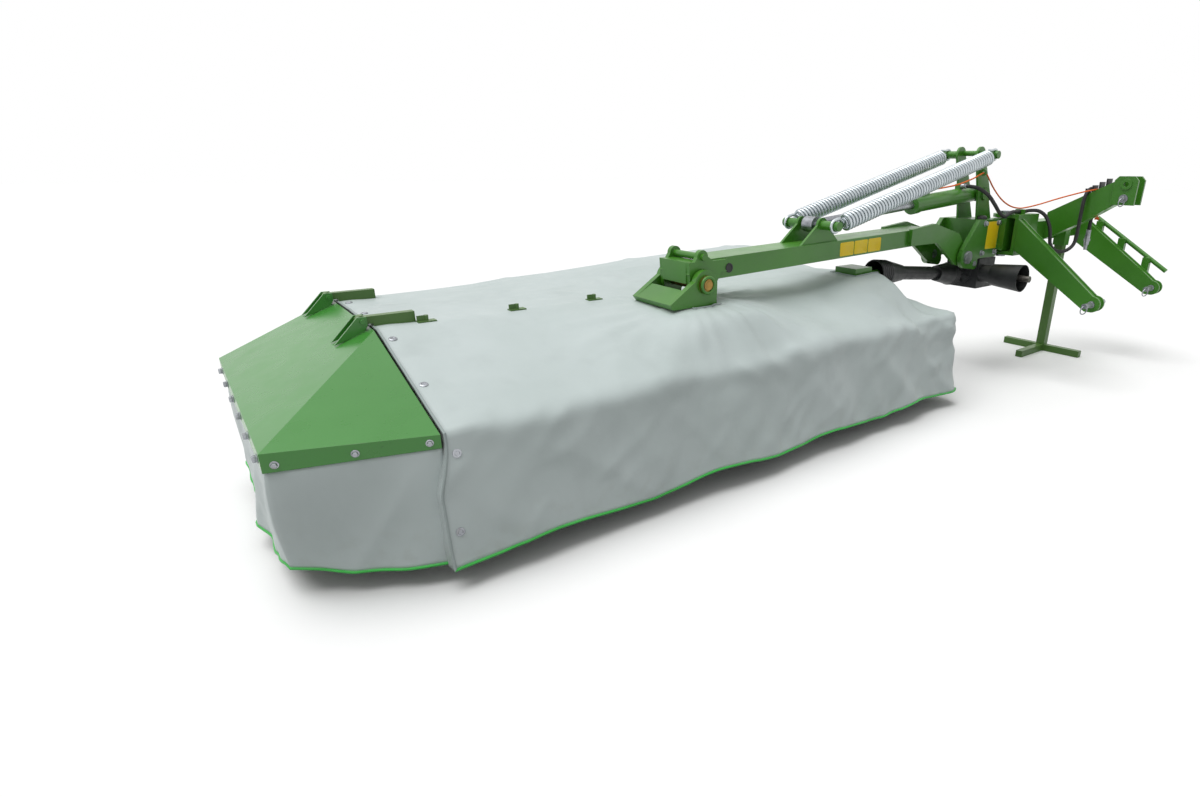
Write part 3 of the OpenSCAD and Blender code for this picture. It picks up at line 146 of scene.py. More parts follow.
class Look:
    """A material's node tree, with short calls for the nodes that every finish here uses."""

    def __init__(self, name, rough, metal=0.0):
        self.mat = bpy.data.materials.new(name)
        self.mat.use_nodes = True
        self.tree = self.mat.node_tree
        self.shader = self.tree.nodes["Principled BSDF"]
        self.shader.inputs["Metallic"].default_value = metal
        self.shader.inputs["Roughness"].default_value = rough
        self.coords = self.tree.nodes.new("ShaderNodeTexCoord").outputs["Object"]
        self.normal = None

    def link(self, a, b):
        self.tree.links.new(a, b)

    def noise(self, scale, detail, stretch=None):
        node = self.tree.nodes.new("ShaderNodeTexNoise")
        node.inputs["Scale"].default_value = scale
        node.inputs["Detail"].default_value = detail
        source = self.coords
        if stretch:
            mapping = self.tree.nodes.new("ShaderNodeMapping")
            mapping.inputs["Scale"].default_value = stretch
            self.link(source, mapping.inputs["Vector"])
            source = mapping.outputs["Vector"]
        self.link(source, node.inputs["Vector"])
        return node.outputs["Fac"]

    def wave(self, scale, direction, distort):
        node = self.tree.nodes.new("ShaderNodeTexWave")
        node.bands_direction = direction
        node.inputs["Scale"].default_value = scale
        node.inputs["Distortion"].default_value = distort
        self.link(self.coords, node.inputs["Vector"])
        return node.outputs["Fac"]

    def ramp(self, fac, low, high, dark, light):
        node = self.tree.nodes.new("ShaderNodeValToRGB")
        node.color_ramp.elements[0].position = low
        node.color_ramp.elements[1].position = high
        node.color_ramp.elements[0].color = dark
        node.color_ramp.elements[1].color = light
        self.link(fac, node.inputs["Fac"])
        return node.outputs["Color"]

    def span(self, fac, low, high, to_low, to_high):
        node = self.tree.nodes.new("ShaderNodeMapRange")
        for key, value in zip(("From Min", "From Max", "To Min", "To Max"), (low, high, to_low, to_high)):
            node.inputs[key].default_value = value
        self.link(fac, node.inputs["Value"])
        return node.outputs["Result"]

    def patches(self, scale, detail, dark, light, full=MID[1]):
        """Two colours that noise mixes."""
        return self.ramp(self.noise(scale, detail), MID[0], full, linear(dark), linear(light))

    def spots(self, scale, detail, start, full, most, least=0.0, stretch=None):
        """Noise as a mask, at its least below start and at its most above full."""
        return self.span(self.noise(scale, detail, stretch), start, full, least, most)

    def varied(self, scale, detail, low, high):
        """A roughness that noise moves between two values."""
        return self.span(self.noise(scale, detail), *MID, low, high)

    def times(self, a, b):
        node = self.tree.nodes.new("ShaderNodeMath")
        node.operation = "MULTIPLY"
        node.use_clamp = True
        self.link(a, node.inputs[0])
        self.link(b, node.inputs[1])
        return node.outputs["Value"]

    def mix(self, fac, tone, colour):
        node = self.tree.nodes.new("ShaderNodeMix")
        node.data_type = "RGBA"
        self.link(fac, node.inputs[0])
        self.link(tone, node.inputs[MIX_A])
        node.inputs[MIX_B].default_value = colour
        return node.outputs[MIX_OUT]

    def edge(self, radius):
        """How far the rounded normal leaves the flat one: 0 on faces and more along edges."""
        bevel = self.tree.nodes.new("ShaderNodeBevel")
        bevel.samples = 4
        bevel.inputs["Radius"].default_value = radius
        self.normal = bevel.outputs["Normal"]
        flat = self.tree.nodes.new("ShaderNodeNewGeometry")
        dot = self.tree.nodes.new("ShaderNodeVectorMath")
        dot.operation = "DOT_PRODUCT"
        self.link(bevel.outputs["Normal"], dot.inputs[0])
        self.link(flat.outputs["Normal"], dot.inputs[1])
        return self.span(dot.outputs["Value"], 0.98, 0.75, 0, 1)

    def upward(self, low):
        """0 on faces whose normals rise less than this, and 1 on those that face straight up."""
        flat = self.tree.nodes.new("ShaderNodeNewGeometry")
        parts = self.tree.nodes.new("ShaderNodeSeparateXYZ")
        self.link(flat.outputs["Normal"], parts.inputs[0])
        return self.span(parts.outputs["Z"], low, 1, 0, 1)

    def height(self, low, high):
        """1 below the low height and 0 above the high one."""
        parts = self.tree.nodes.new("ShaderNodeSeparateXYZ")
        self.link(self.coords, parts.inputs[0])
        return self.span(parts.outputs["Z"], low, high, 1, 0)

    def bump(self, fac, strength, depth):
        node = self.tree.nodes.new("ShaderNodeBump")
        node.inputs["Strength"].default_value = strength
        node.inputs["Distance"].default_value = depth
        self.link(fac, node.inputs["Height"])
        if self.normal is not None:
            self.link(self.normal, node.inputs["Normal"])
        self.normal = node.outputs["Normal"]

    def done(self, colour, rough=None):
        self.link(colour, self.shader.inputs["Base Color"])
        if rough is not None:
            self.link(rough, self.shader.inputs["Roughness"])
        if self.normal is not None:
            self.link(self.normal, self.shader.inputs["Normal"])
        return self.mat


def paint(name, light, dark, rough, chip, dust, dusty=0.26):
    look = Look(name, rough)
    look.shader.inputs["Coat Weight"].default_value = 0.25
    look.shader.inputs["Coat Roughness"].default_value = 0.18
    tone = look.patches(2.2, 5, dark, light)
    worn = look.times(look.edge(0.0025), look.spots(38, 6, start=0.5, full=0.66, most=0.75))
    tone = look.mix(worn, tone, linear(chip))
    film = look.spots(9, 6, start=0.35, full=0.75, most=dusty, least=0.02)
    tone = look.mix(look.times(look.upward(0.4), film), tone, linear(dust))
    specks = look.spots(160, 3, start=0.66, full=0.74, most=0.35)
    tone = look.mix(specks, tone, linear([c * 0.6 for c in dark]))
    look.bump(look.noise(240, 2), 0.06, 0.001)
    return look.done(tone, look.varied(14, 4, rough - 0.03, rough + 0.06))


def plated(name, light, dark, rough, stain, stained=0.6):
    look = Look(name, rough, metal=1.0)
    tone = look.patches(26, 5, dark, light)
    stains = look.spots(70, 6, start=0.58, full=0.75, most=stained)
    tone = look.mix(stains, tone, linear(stain))
    look.edge(0.0012)
    look.bump(look.noise(420, 3), 0.08, 0.0006)
    return look.done(tone, look.varied(40, 5, rough - 0.08, rough + 0.18))


def moulded(name, light, dark, rough, dust, grain):
    look = Look(name, rough)
    tone = look.patches(7, 5, dark, light)
    look.edge(0.0015)
    film = look.times(look.upward(0.2), look.spots(18, 6, start=0.4, full=0.75, most=0.4))
    tone = look.mix(film, tone, linear(dust))
    look.bump(look.noise(grain, 3), 0.15, 0.0008)
    return look.done(tone, look.varied(30, 4, rough - 0.06, rough + 0.14))


def woven(name, light, dark, rough, mud):
    look = Look(name, rough)
    look.shader.inputs["Sheen Weight"].default_value = 0.15
    look.shader.inputs["Sheen Roughness"].default_value = 0.5
    look.shader.inputs["Specular IOR Level"].default_value = 0.4
    tone = look.patches(3.2, 6, dark, light, full=0.72)
    streaks = look.spots(9, 5, start=0.55, full=0.85, most=0.16, stretch=(1.0, 1.0, 0.25))
    tone = look.mix(streaks, tone, linear([c * 0.72 for c in dark]))
    splash = look.times(look.height(0.06, 0.24), look.spots(24, 6, start=0.5, full=0.75, most=0.22))
    tone = look.mix(splash, tone, linear(mud))
    threads = look.times(look.wave(260, "X", 0.6), look.wave(260, "Z", 0.6))
    look.bump(threads, 0.12, 0.0006)
    look.bump(look.noise(18, 5), 0.12, 0.006)
    return look.done(tone, look.varied(22, 4, rough - 0.08, rough + 0.1))


def braided(name, light, dark):
    look = Look(name, 0.75)
    strands = look.times(look.wave(330, "DIAGONAL", 1.2), look.noise(300, 2))
    # The colour follows the bump: darker where the strands lie low, which is painted shade in the grooves
    # between them
    tone = look.ramp(strands, 0.1, 0.5, linear(dark), linear(light))
    look.bump(strands, 0.5, 0.0012)
    return look.done(tone)


green = paint("machine_green", (67, 136, 32), (54, 117, 23), 0.36, (135, 149, 111), (114, 155, 70))
hood_green = paint("hood_green", (64, 141, 53), (60, 135, 48), 0.28, (141, 152, 129), (88, 155, 76), 0.04)
olive = paint("olive_green", (79, 123, 47), (59, 97, 32), 0.5, (146, 152, 123), (126, 144, 91))
zinc = plated("zinc_plate", (172, 175, 180), (132, 135, 140), 0.34, (112, 108, 98))
bright = plated("spring_zinc", (200, 207, 210), (186, 193, 197), 0.32, (142, 146, 148), 0.15)
brass = plated("yellow_zinc", (164, 134, 76), (126, 100, 54), 0.34, (94, 78, 48))
steel = plated("worn_steel", (130, 128, 124), (84, 80, 76), 0.42, (92, 70, 54))
iron = moulded("black_casting", (44, 46, 47), (26, 27, 29), 0.5, (109, 107, 96), 90)
plastic = moulded("black_plastic", (31, 32, 34), (18, 19, 20), 0.42, (72, 72, 69), 220)
rubber = moulded("hose_rubber", (24, 24, 25), (14, 14, 15), 0.55, (60, 60, 56), 320)
cloth = woven("cover_cloth", (201, 212, 211), (191, 203, 201), 0.5, (158, 161, 148))
cloth_edge = woven("cover_edge", (164, 176, 174), (149, 161, 160), 0.5, (141, 144, 132))
piping = moulded("green_piping", (67, 205, 85), (50, 173, 64), 0.4, (132, 205, 132), 260)
yellow = moulded("yellow_plate", (255, 224, 18), (250, 208, 12), 0.35, (206, 178, 84), 300)
# The rope's darker orange is painted shade for the grooves between its strands
orange = braided("orange_rope", (255, 140, 58), (236, 96, 34))

FINISH = {
    "three_point_frame": green, "lower_arm_near": green, "lower_arm_far": green, "top_link_beam": green,
    "swing_head": green, "spring_tower": green, "boom": green, "spring_bracket": green, "carrier": green,
    "lift_barrel": green, "mower_gearbox": green, "end_hood": hood_green, "main_beam": olive,
    "end_plates": olive, "parking_stand": olive, "cover_rails": olive, "cover_bows": olive,
    "cover_clips": olive, "hood_arms": olive,
    "kingpin": zinc, "hitch_pins": zinc, "boom_pins": zinc, "lift_rod": zinc, "latch_rod": green,
    "hose_coupler": zinc, "mower_pin": brass, "cutter_bar": steel, "skids": steel, "input_shaft": steel,
    "angle_gearbox": iron, "hose_comb": plastic, "input_guard": plastic, "drive_joint": plastic,
    "drive_inner": plastic, "drive_outer": plastic,
}
for name, obj in nodes.items():
    if name.startswith("disc_"):
        FINISH[name] = steel
    if name in FINISH:
        obj.data.materials.clear()
        obj.data.materials.append(FINISH[name])


# Floor

FLOOR_HALF, FLOOR_Z = 40.0, -0.001
FLOOR_DARK, FLOOR_LIGHT = (0.40, 0.40, 0.40, 1), (0.42, 0.42, 0.42, 1)


def add_floor():
    mesh = bpy.data.meshes.new("floor")
    corners = [(-1, -1, 0), (1, -1, 0), (1, 1, 0), (-1, 1, 0)]
    mesh.from_pydata([(x * FLOOR_HALF, y * FLOOR_HALF, z) for x, y, z in corners], [], [(0, 1, 2, 3)])
    look = Look("floor", 0.9)
    look.shader.inputs["Specular IOR Level"].default_value = 0.0
    shade = look.ramp(look.noise(1.5, 3), *MID, FLOOR_DARK, FLOOR_LIGHT)
    mesh.materials.append(look.done(look.mix(seen_directly(look.tree), shade, WHITE)))
    floor = bpy.data.objects.new("floor", mesh)
    floor.location = (0, 0, FLOOR_Z)
    scene.collection.objects.link(floor)


add_floor()


# Mesh helpers

# A way that no axis here runs, for the start of a ring
ASKEW = (0.31, 0.82, 0.48)
# Smooth faces part where they meet at more than this
CREASE = math.radians(38)
# A bolt's washer and head, as (radius, length) pairs in shares of its width across flats
WASHER = [(0.25, 0), (0.725, 0), (0.75, 0.03), (0.75, 0.1), (0.7, 0.13)]
BOLT_HEAD = [(0.55, 0.1), (0.575, 0.15), (0.575, 0.6), (0.49, 0.72), (0.25, 0.74)]


def unit(v):
    v = np.asarray(v, float)
    return v / np.linalg.norm(v)


def piece(name, verts, faces, mat):
    mesh = bpy.data.meshes.new(name)
    mesh.from_pydata([tuple(v) for v in verts], [], [tuple(f) for f in faces])
    mesh.materials.append(mat)
    mesh.polygons.foreach_set("use_smooth", [True] * len(mesh.polygons))
    mesh.update()
    obj = bpy.data.objects.new(name, mesh)
    scene.collection.objects.link(obj)
    return obj


def joined(forms):
    """The vertices and faces of several forms as those of one."""
    verts, faces = [], []
    for points, sides in forms:
        faces += [tuple(i + len(verts) for i in side) for side in sides]
        verts += [tuple(p) for p in points]
    return verts, faces


def fitting(name, mat, body, forms):
    """Small forms that share a material and a body, as one piece with crisp edges."""
    obj = piece(name, *joined(forms), mat)
    split = obj.modifiers.new("edges", "EDGE_SPLIT")
    split.split_angle = CREASE
    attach(obj, body)
    return obj


def curve_through(points, steps):
    p = np.array(points, float)
    out = []
    for i in range(len(p) - 1):
        a, b, c, d = p[max(i - 1, 0)], p[i], p[i + 1], p[min(i + 2, len(p) - 1)]
        for k in range(steps):
            t = k / steps
            out.append(0.5 * (2 * b + (c - a) * t + (2 * a - 5 * b + 4 * c - d) * t * t
                              + (3 * b - a - 3 * c + d) * t ** 3))
    out.append(p[-1])
    return np.array(out)


def tube_faces(rows, sides, closed=False):
    """Faces between rings of points, with both ends filled unless the last ring joins the first."""
    faces = []
    for i in range(rows if closed else rows - 1):
        here, there = i * sides, (i + 1) % rows * sides
        for k in range(sides):
            after = (k + 1) % sides
            faces.append((here + k, here + after, there + after, there + k))
    if not closed:
        faces.append(tuple(range(sides - 1, -1, -1)))
        faces.append(tuple((rows - 1) * sides + k for k in range(sides)))
    return faces


def grid_faces(rows, width):
    return [(r * width + c, r * width + c + 1, (r + 1) * width + c + 1, (r + 1) * width + c)
            for r in range(rows - 1) for c in range(width - 1)]


def sweep(path, radius, sides, closed=False):
    """Vertices and faces of a round tube along a path."""
    path = np.asarray(path, float)
    if closed:
        tangent = np.roll(path, -1, 0) - np.roll(path, 1, 0)
    else:
        tangent = np.gradient(path, axis=0)
    tangent /= np.linalg.norm(tangent, axis=1)[:, None]
    side = np.cross(tangent[0], ASKEW)
    verts = []
    for at, way in zip(path, tangent):
        side = unit(side - way * (side @ way))
        other = np.cross(way, side)
        for k in range(sides):
            a = 2 * math.pi * k / sides
            verts.append(at + radius * (math.cos(a) * side + math.sin(a) * other))
    return verts, tube_faces(len(path), sides, closed)


def ring(centre, axis, radius, steps):
    """Points of a circle about an axis."""
    axis = unit(axis)
    side = unit(np.cross(axis, ASKEW))
    other = np.cross(axis, side)
    return [np.asarray(centre) + radius * (math.cos(a) * side + math.sin(a) * other)
            for a in 2 * math.pi * np.arange(steps) / steps]


def hoop(centre, axis, radius, wire, steps=40, sides=8):
    """Vertices and faces of a ring of round wire."""
    return sweep(ring(centre, axis, radius, steps), wire, sides, closed=True)


def turned(profile, base, axis, sides=28):
    """Vertices and faces of a closed form turned from (radius, length) pairs about an axis."""
    verts = [p for r, h in profile for p in ring(base + unit(axis) * h, axis, r, sides)]
    return verts, tube_faces(len(profile), sides)


def bolt(base, axis, across):
    """A hexagon head with a rounded top on a washer."""
    return joined([turned(np.array(WASHER) * across, base, axis, 24),
                   turned(np.array(BOLT_HEAD) * across, base, axis, 6)])


def tube_piece(name, path, radius, sides, mat, node):
    """A round piece along a path that takes the place of a node."""
    obj = piece(name, *sweep(path, radius, sides), mat)
    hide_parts(node)
    return obj


# Hoses and rope

HOSE_R, HOSE_SIDES = 0.010, 14
ROPE_R, ROPE_SIDES = 0.004, 10
# Steps of a curve between two points of its route
STEPS, TRACTOR_STEPS = 8, 6
# Steps along the curves where the lift hose is at the head, and where the rope leaves the barrel,
# is at its eye on the head and, counted from there, is at the frame
HOSE_AT_HEAD, ROPE_OFF_BARREL, ROPE_AT_EYE, ROPE_AT_FRAME = 40, 14, 48, 56
# A crimped hose end with its nut
SLEEVE = [(0.0105, 0), (0.0135, 0), (0.0135, 0.004), (0.0125, 0.006), (0.0135, 0.008), (0.0125, 0.012),
          (0.0135, 0.014), (0.0125, 0.018), (0.0135, 0.02), (0.0135, 0.03), (0.0105, 0.032)]
KNOT_STEPS, KNOT_SIZE, KNOT_RISE = 60, 0.0034, 0.004


def route(points):
    return np.array(points, float) / 1000 + PIVOT


LIFT_ROUTE = route([
    (33, -16, 371), (33, -62, 371), (48, -108, 362), (85, -148, 328), (130, -168, 280),
    (180, -176, 236), (235, -178, 214), (290, -176, 225), (335, -172, 234), (378, -170, 233),
    (420, -170, 232)])
TRACTOR_ROUTE = route([
    (440, -170, 232), (485, -171, 233), (526, -186, 237), (560, -216, 234), (581, -250, 206),
    (584, -280, 152), (585, -292, 104), (592, -298, 54), (615, -316, 20), (646, -340, 9),
    (678, -364, 20), (701, -382, 50), (709, -388, 96), (709, -388, 142), (709, -388, 188),
    (709, -388, 234), (710, -388, 280), (720, -388, 320), (748, -388, 351), (787, -388, 362),
    (826, -388, 351), (854, -388, 320), (864, -388, 280), (865, -388, 234), (865, -388, 188),
    (865, -388, 142), (865, -388, 96)])
ROPE_ROUTE = route([
    (-270, 0, 352), (-215, -6, 358), (-160, -24, 365), (-60, -52, 382), (35, -72, 410),
    (90, -81, 431), (125, -82, 440), (160, -84, 430), (215, -100, 365), (270, -126, 305),
    (330, -150, 268), (400, -166, 253), (470, -176, 254), (560, -212, 272), (625, -285, 306),
    (680, -368, 338), (730, -418, 355), (787, -423, 358), (827, -423, 359), (850, -423, 335),
    (853, -423, 260), (853, -423, 190)])


def hose_end(name, base, axis, body):
    obj = fitting(name, zinc, body, [turned(SLEEVE, base, axis, 20)])
    return obj


def add_hoses():
    lift = curve_through(LIFT_ROUTE, STEPS)
    hose = tube_piece("lift_hose", lift, HOSE_R, HOSE_SIDES, rubber, "hose_lift")
    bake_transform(hose)
    end = hose_end("lift_hose_end", lift[0], lift[3] - lift[0], "barrel")
    tractor = curve_through(TRACTOR_ROUTE, TRACTOR_STEPS)
    hose = tube_piece("tractor_hose", tractor, HOSE_R, HOSE_SIDES, rubber, "hose_tractor")
    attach(hose, "frame")
    end = hose_end("tractor_hose_end", tractor[-1], tractor[-4] - tractor[-1], "frame")


def add_knot(at):
    """An overhand knot drawn tight at the rope's end."""
    loop = []
    for k in range(KNOT_STEPS):
        t = 2 * math.pi * k / KNOT_STEPS
        loop.append((math.sin(t) + 2 * math.sin(2 * t), math.cos(t) - 2 * math.cos(2 * t),
                     -math.sin(3 * t) * 1.1))
    path = np.array(loop) * KNOT_SIZE + at + (0, 0, KNOT_RISE)
    knot = piece("rope_knot", *sweep(path, ROPE_R * 0.92, ROPE_SIDES, closed=True), orange)
    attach(knot, "frame")
    return knot


def add_rope():
    rope = curve_through(ROPE_ROUTE, STEPS)
    first, second = rope[:ROPE_AT_EYE + 1], rope[ROPE_AT_EYE:]
    line = tube_piece("rope_to_lock", first, ROPE_R, ROPE_SIDES, orange, "rope_lock")
    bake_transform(line)
    tail = tube_piece("rope_to_tractor", second, ROPE_R, ROPE_SIDES, orange, "rope_lock")
    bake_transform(tail)
    knot = add_knot(second[-1])


add_hoses()
add_rope()


# Relief springs

# X and Z of the hooks' middles on the tower and the bracket, and the springs' distance from the boom's plane
TOWER_HOOK, BOOM_HOOK, SPRING_OFF = (1.1185, 1.188), (-0.1405, 0.874), 0.137
WIRE, WIRE_SIDES, COIL_R, TURNS, PER_TURN = 0.0068, 10, 0.0355, 56, 18
HOOK_L, HOOK_R = 0.06, 0.0265
# The plug in the coil's lower end and the shank above it, inside the coil
SHANK = 0.165
PLUG = [(0.004, -0.006), (0.019, -0.006), (0.021, -0.003), (0.021, 0.012), (0.011, 0.016), (0.0075, 0.02),
        (0.0075, SHANK - 0.004), (0.004, SHANK)]


def wire_along(path):
    """Vertices and faces of spring wire along a path whose corners are eased."""
    path = np.array(path)
    for _ in range(2):
        path[1:-1] = path[1:-1] * 0.5 + (path[:-2] + path[2:]) * 0.25
    return sweep(path, WIRE, WIRE_SIDES)


def hook_path(centre, ahead, side):
    """A hook's open loop and its straight stretch towards the coil."""
    turn = np.linspace(math.radians(385), math.radians(90), 30)
    loop = [centre + HOOK_R * (math.cos(t) * ahead + math.sin(t) * side) for t in turn]
    return loop + [centre + ahead * s + side * HOOK_R for s in np.linspace(0.008, HOOK_L - 0.025, 4)]


def add_spring(where, y):
    """A relief spring: hook and coil hang from the tower, and the lower hook stays on the boom's bracket."""
    top, low = (np.array([x, y, z]) for x, z in (TOWER_HOOK, BOOM_HOOK))
    along = unit(low - top)
    side = np.array([along[2], 0, -along[0]])
    across = np.cross(along, side)
    first, last = top + along * HOOK_L, low - along * HOOK_L
    steps = TURNS * PER_TURN
    wound = []
    for k in range(steps + 1):
        a = 2 * math.pi * k / PER_TURN
        out = math.cos(a) * side + math.sin(a) * across
        wound.append(first + (last - first) * k / steps + COIL_R * out)
    coil = piece("spring_coil_" + where, *wire_along(wound), bright)
    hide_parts("relief_spring_" + where)
    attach(coil, "spring_" + where)
    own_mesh(coil)
    upper = hook_path(top, along, side) + [first - along * 0.012 + side * COIL_R, first + side * COIL_R]
    fitting("spring_hook_upper_" + where, bright, "spring_" + where, [wire_along(upper)])
    lower = hook_path(low, -along, side) + [last + along * 0.008 + side * 0.015, last]
    fitting("spring_hook_lower_" + where, bright, "boom", [wire_along(lower), turned(PLUG, last, -along)])


add_spring("front", BOOM_Y - SPRING_OFF)
add_spring("rear", BOOM_Y + SPRING_OFF)


# Fabric cover and end curtain

# Reach along its sides and depth of a rounded corner, in shares of its radius
ROUND_REACH, ROUND_DEPTH = 2.2, 0.45


def wrinkle(p, scale, seed, octaves=3):
    total, size, freq = 0.0, 1.0, scale
    for k in range(octaves):
        total += size * noise.noise(Vector(p) * freq + Vector((seed, seed * 1.7 + k * 9.1, seed * 0.6)))
        size *= 0.5
        freq *= 2.0
    return total


def ridge(p, scale, seed):
    return 1 - 2 * abs(noise.noise(Vector(p) * scale + Vector((seed, seed * 2.3, seed * 0.4))))


def corner_path(points, counts, radius):
    """Points along an open outline with rounded corners, with a set count for each side."""
    pts = [np.array(p, float) for p in points]
    out = []
    for i in range(len(pts) - 1):
        last = i == len(pts) - 2
        for k in range(counts[i] + (1 if last else 0)):
            out.append(pts[i] + (pts[i + 1] - pts[i]) * k / counts[i])
    out = np.array(out)
    for corner in pts[1:-1]:
        d = np.linalg.norm(out - corner, axis=1)
        share = np.clip(1 - d / (ROUND_REACH * radius), 0, 1)
        inward = unit(out.mean(0) - corner)
        out = out + inward * (share ** 2 * radius * ROUND_DEPTH)[:, None]
    return out


def relax(verts, pairs, keep, rounds, share=0.5):
    a, b = pairs[:, 0], pairs[:, 1]
    count = np.bincount(np.concatenate([a, b]), minlength=len(verts)).astype(float)
    for _ in range(rounds):
        total = np.zeros_like(verts)
        np.add.at(total, a, verts[b])
        np.add.at(total, b, verts[a])
        mean = total / count[:, None]
        verts = np.where(keep[:, None], verts, verts * (1 - share) + mean * share)
    return verts


def edge_pairs(faces):
    pairs = set()
    for f in faces:
        for i in range(len(f)):
            pairs.add((min(f[i], f[i - 1]), max(f[i], f[i - 1])))
    return np.array(sorted(pairs))


def vertex_normals(verts, faces):
    v = np.asarray(verts)
    f = np.array(faces)
    n = np.cross(v[f[:, 2]] - v[f[:, 0]], v[f[:, 3]] - v[f[:, 1]])
    out = np.zeros_like(v)
    for k in range(4):
        np.add.at(out, f[:, k], n)
    return out / np.maximum(np.linalg.norm(out, axis=1), 1e-12)[:, None]


# Ends, fronts, rears and heights of the cover's hem, of the bend above its skirt and of its flat top
OUT_X = -1.9545
HEM_X, END_X, TOP_X = 0.5235, 0.4985, 0.1985
HEM_FRONT, FRONT, TOP_FRONT = -0.5155, -0.4655, 0.0945
HEM_REAR, REAR, TOP_REAR = 0.7995, 0.7745, 0.7165
HEM_Z, SKIRT_Z, TOP_Z = 0.068, 0.447, 0.616
ROWS_SKIRT, ROWS_ROOF = 26, 30
N_LONG, N_END = 168, 74
CLOTH_T, PIPING_R, SEAM_R, BINDING_R = 0.002, 0.0045, 0.004, 0.005
# Past this place the cloth stays low, under the shaft guard
SHAFT_X = 0.335
BOWS = np.linspace(-1.9145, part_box("cover_bows")[1].x - 0.012, 4)
BOW_REACH = 0.05
# X and Y ranges of the slits for the carrier and the gearbox, and the height and reach of the cloth by each
SLITS = [(-0.9165, -0.7865, -0.2135, 0.0585), (0.1115, 0.3055, -0.1545, -0.0005)]
TENTS = [(0.607, 0.2), (0.625, 0.17)]
# A slit is cut above this height, and points this close to an edge and its ends move to it
CUT_Z, SNAP, SLIT_ROOM = 0.46, 0.009, 0.02
# Points along each side of a slit's binding
SLIT_STEPS = 14
# Rounds that ease the plain cover's bends, and the share and reach of what its inner front corner keeps
ROUNDS, CORNER_HELD, CORNER_REACH = 9, 0.75, 0.2
# How far the roof stands up between its edges and towards the rear
ARCH, REAR_RISE = 0.03, 0.075
# Depths of the roof's sag between bows, waves, folds about the carrier, creases and crumpled places
SAG, WAVE, FAN, ROOF_CREASE, ROOF_CRUMPLE = 0.010, 0.004, 0.012, 0.004, 0.016
FAN_X, FAN_Y = -0.85, -0.1
# Where the skirt gives way to the roof, and over what height
ROOF_Z, ROOF_FADE = 0.41, 0.08
# Middles and reaches of the crumpled places
ROOF_CRUMPLED = [((0.3, -0.36, 0.5), 0.3), ((0.4, 0.7, 0.47), 0.25)]
SKIRT_CRUMPLED = ((0.47, -0.46, 0.33), 0.22)
# Depths of the folds along the front bend, and of the skirt's folds, creases and crumpled place
SHOULDER, SKIRT_FOLD, SKIRT_CREASE, SKIRT_CRUMPLE = 0.02, 0.013, 0.006, 0.018
SHOULDER_Y, SHOULDER_Z, SHOULDER_REACH = -0.2, 0.44, 0.07
# Depths of the skirt's waves at its top, and what they gain down to the hem
SKIRT_WAVE, HEM_GAIN = 0.008, 0.018
# Length and height of the hem's waves, the slack under them and the most that the hem drops
HEM_WAVE, HEM_RISE, HEM_LOOSE, HEM_DROP = 0.62, 0.03, 0.012, 0.004
# The cloth stands at least this far off a bow
BOW_RISE = 0.004
# The least and most that folds stand off, and the lip behind the outer seam
FOLD_IN, FOLD_OUT, LIP = -0.03, 0.026, 0.04
# How far the outer front corner flares, from what height down and over what length
FLAP, FLAP_Z, FLAP_FADE, FLAP_L = 0.032, 0.43, 0.16, 0.3
EYELET = [(0.006, 0.0), (0.0125, 0.0), (0.0125, 0.0012), (0.010, 0.0028), (0.007, 0.0028), (0.006, 0.001)]
EYELET_X, EYELET_OFF = -1.925, 0.0006
EYELETS = [(0.585, TOP_Z), (0.356, TOP_Z), (0.02, 0.594), (-0.25, 0.512), (-0.4735, 0.386), (-0.502, 0.17)]
# Places where the cloth lies still: at the clips, under the hood's arms and under the shaft guard
CALM = [(x, 0.1245, TOP_Z) for x in (-1.7915, -1.4715, -1.1515)]
CALM += [(-1.89, y, TOP_Z) for y in (0.1545, 0.6565)]
CALM += [(0.36, BOOM_Y, 0.52), (0.44, BOOM_Y, 0.48)]
CALM_REACH = 0.09


def cover_rings():
    low, mid, high = (
        corner_path([(OUT_X, front, z), (end, front, z), (end, rear, z), (OUT_X, rear, z)],
                    (N_LONG, N_END, N_LONG), radius)
        for end, front, rear, z, radius in ((HEM_X, HEM_FRONT, HEM_REAR, HEM_Z, 0.05),
                                            (END_X, FRONT, REAR, SKIRT_Z, 0.025),
                                            (TOP_X, TOP_FRONT, TOP_REAR, TOP_Z, 0.02)))
    rows = [low + (mid - low) * k / ROWS_SKIRT for k in range(ROWS_SKIRT)]
    rows += [mid + (high - mid) * k / ROWS_ROOF for k in range(ROWS_ROOF + 1)]
    return rows


def build_cover():
    """The plain cover's vertices and faces, and the points along its hem and along its top's outer edge."""
    rows = cover_rings()
    width = len(rows[0])
    verts = np.concatenate(rows)
    # The flat top joins the last ring's front and rear along rows across it
    top = (len(rows) - 1) * width
    grid = []
    extra = []
    for i in range(N_LONG):
        front, rear = top + i, top + width - 1 - i
        line = [front]
        for k in range(1, N_END):
            line.append(len(verts) + len(extra))
            extra.append(verts[front] + (verts[rear] - verts[front]) * k / N_END)
        line.append(rear)
        grid.append(line)
    grid.append([top + N_LONG + k for k in range(N_END + 1)])
    verts = np.concatenate([verts, np.array(extra)])
    faces = grid_faces(len(rows), width)
    faces += [(grid[i][k], grid[i + 1][k], grid[i + 1][k + 1], grid[i][k + 1])
              for i in range(N_LONG) for k in range(N_END)]
    still = np.abs(verts[:, 0] - OUT_X) < 1e-6
    still[:width] = True
    plain = verts.copy()
    verts = relax(verts, edge_pairs(faces), still, ROUNDS)
    corner = (END_X, FRONT, SKIRT_Z)
    held = np.array([max(over_bow(p[0]), CORNER_HELD * near(p, corner, CORNER_REACH))
                     for p in plain])[:, None]
    verts = verts * (1 - held) + plain * held
    return verts, faces, list(range(width)), grid[0][1:-1]


def over_bow(x):
    return max(math.exp(-((x - b) / BOW_REACH) ** 2) for b in BOWS)


def near(p, place, reach):
    d = math.dist(p, place)
    return math.exp(-(d / reach) ** 2)


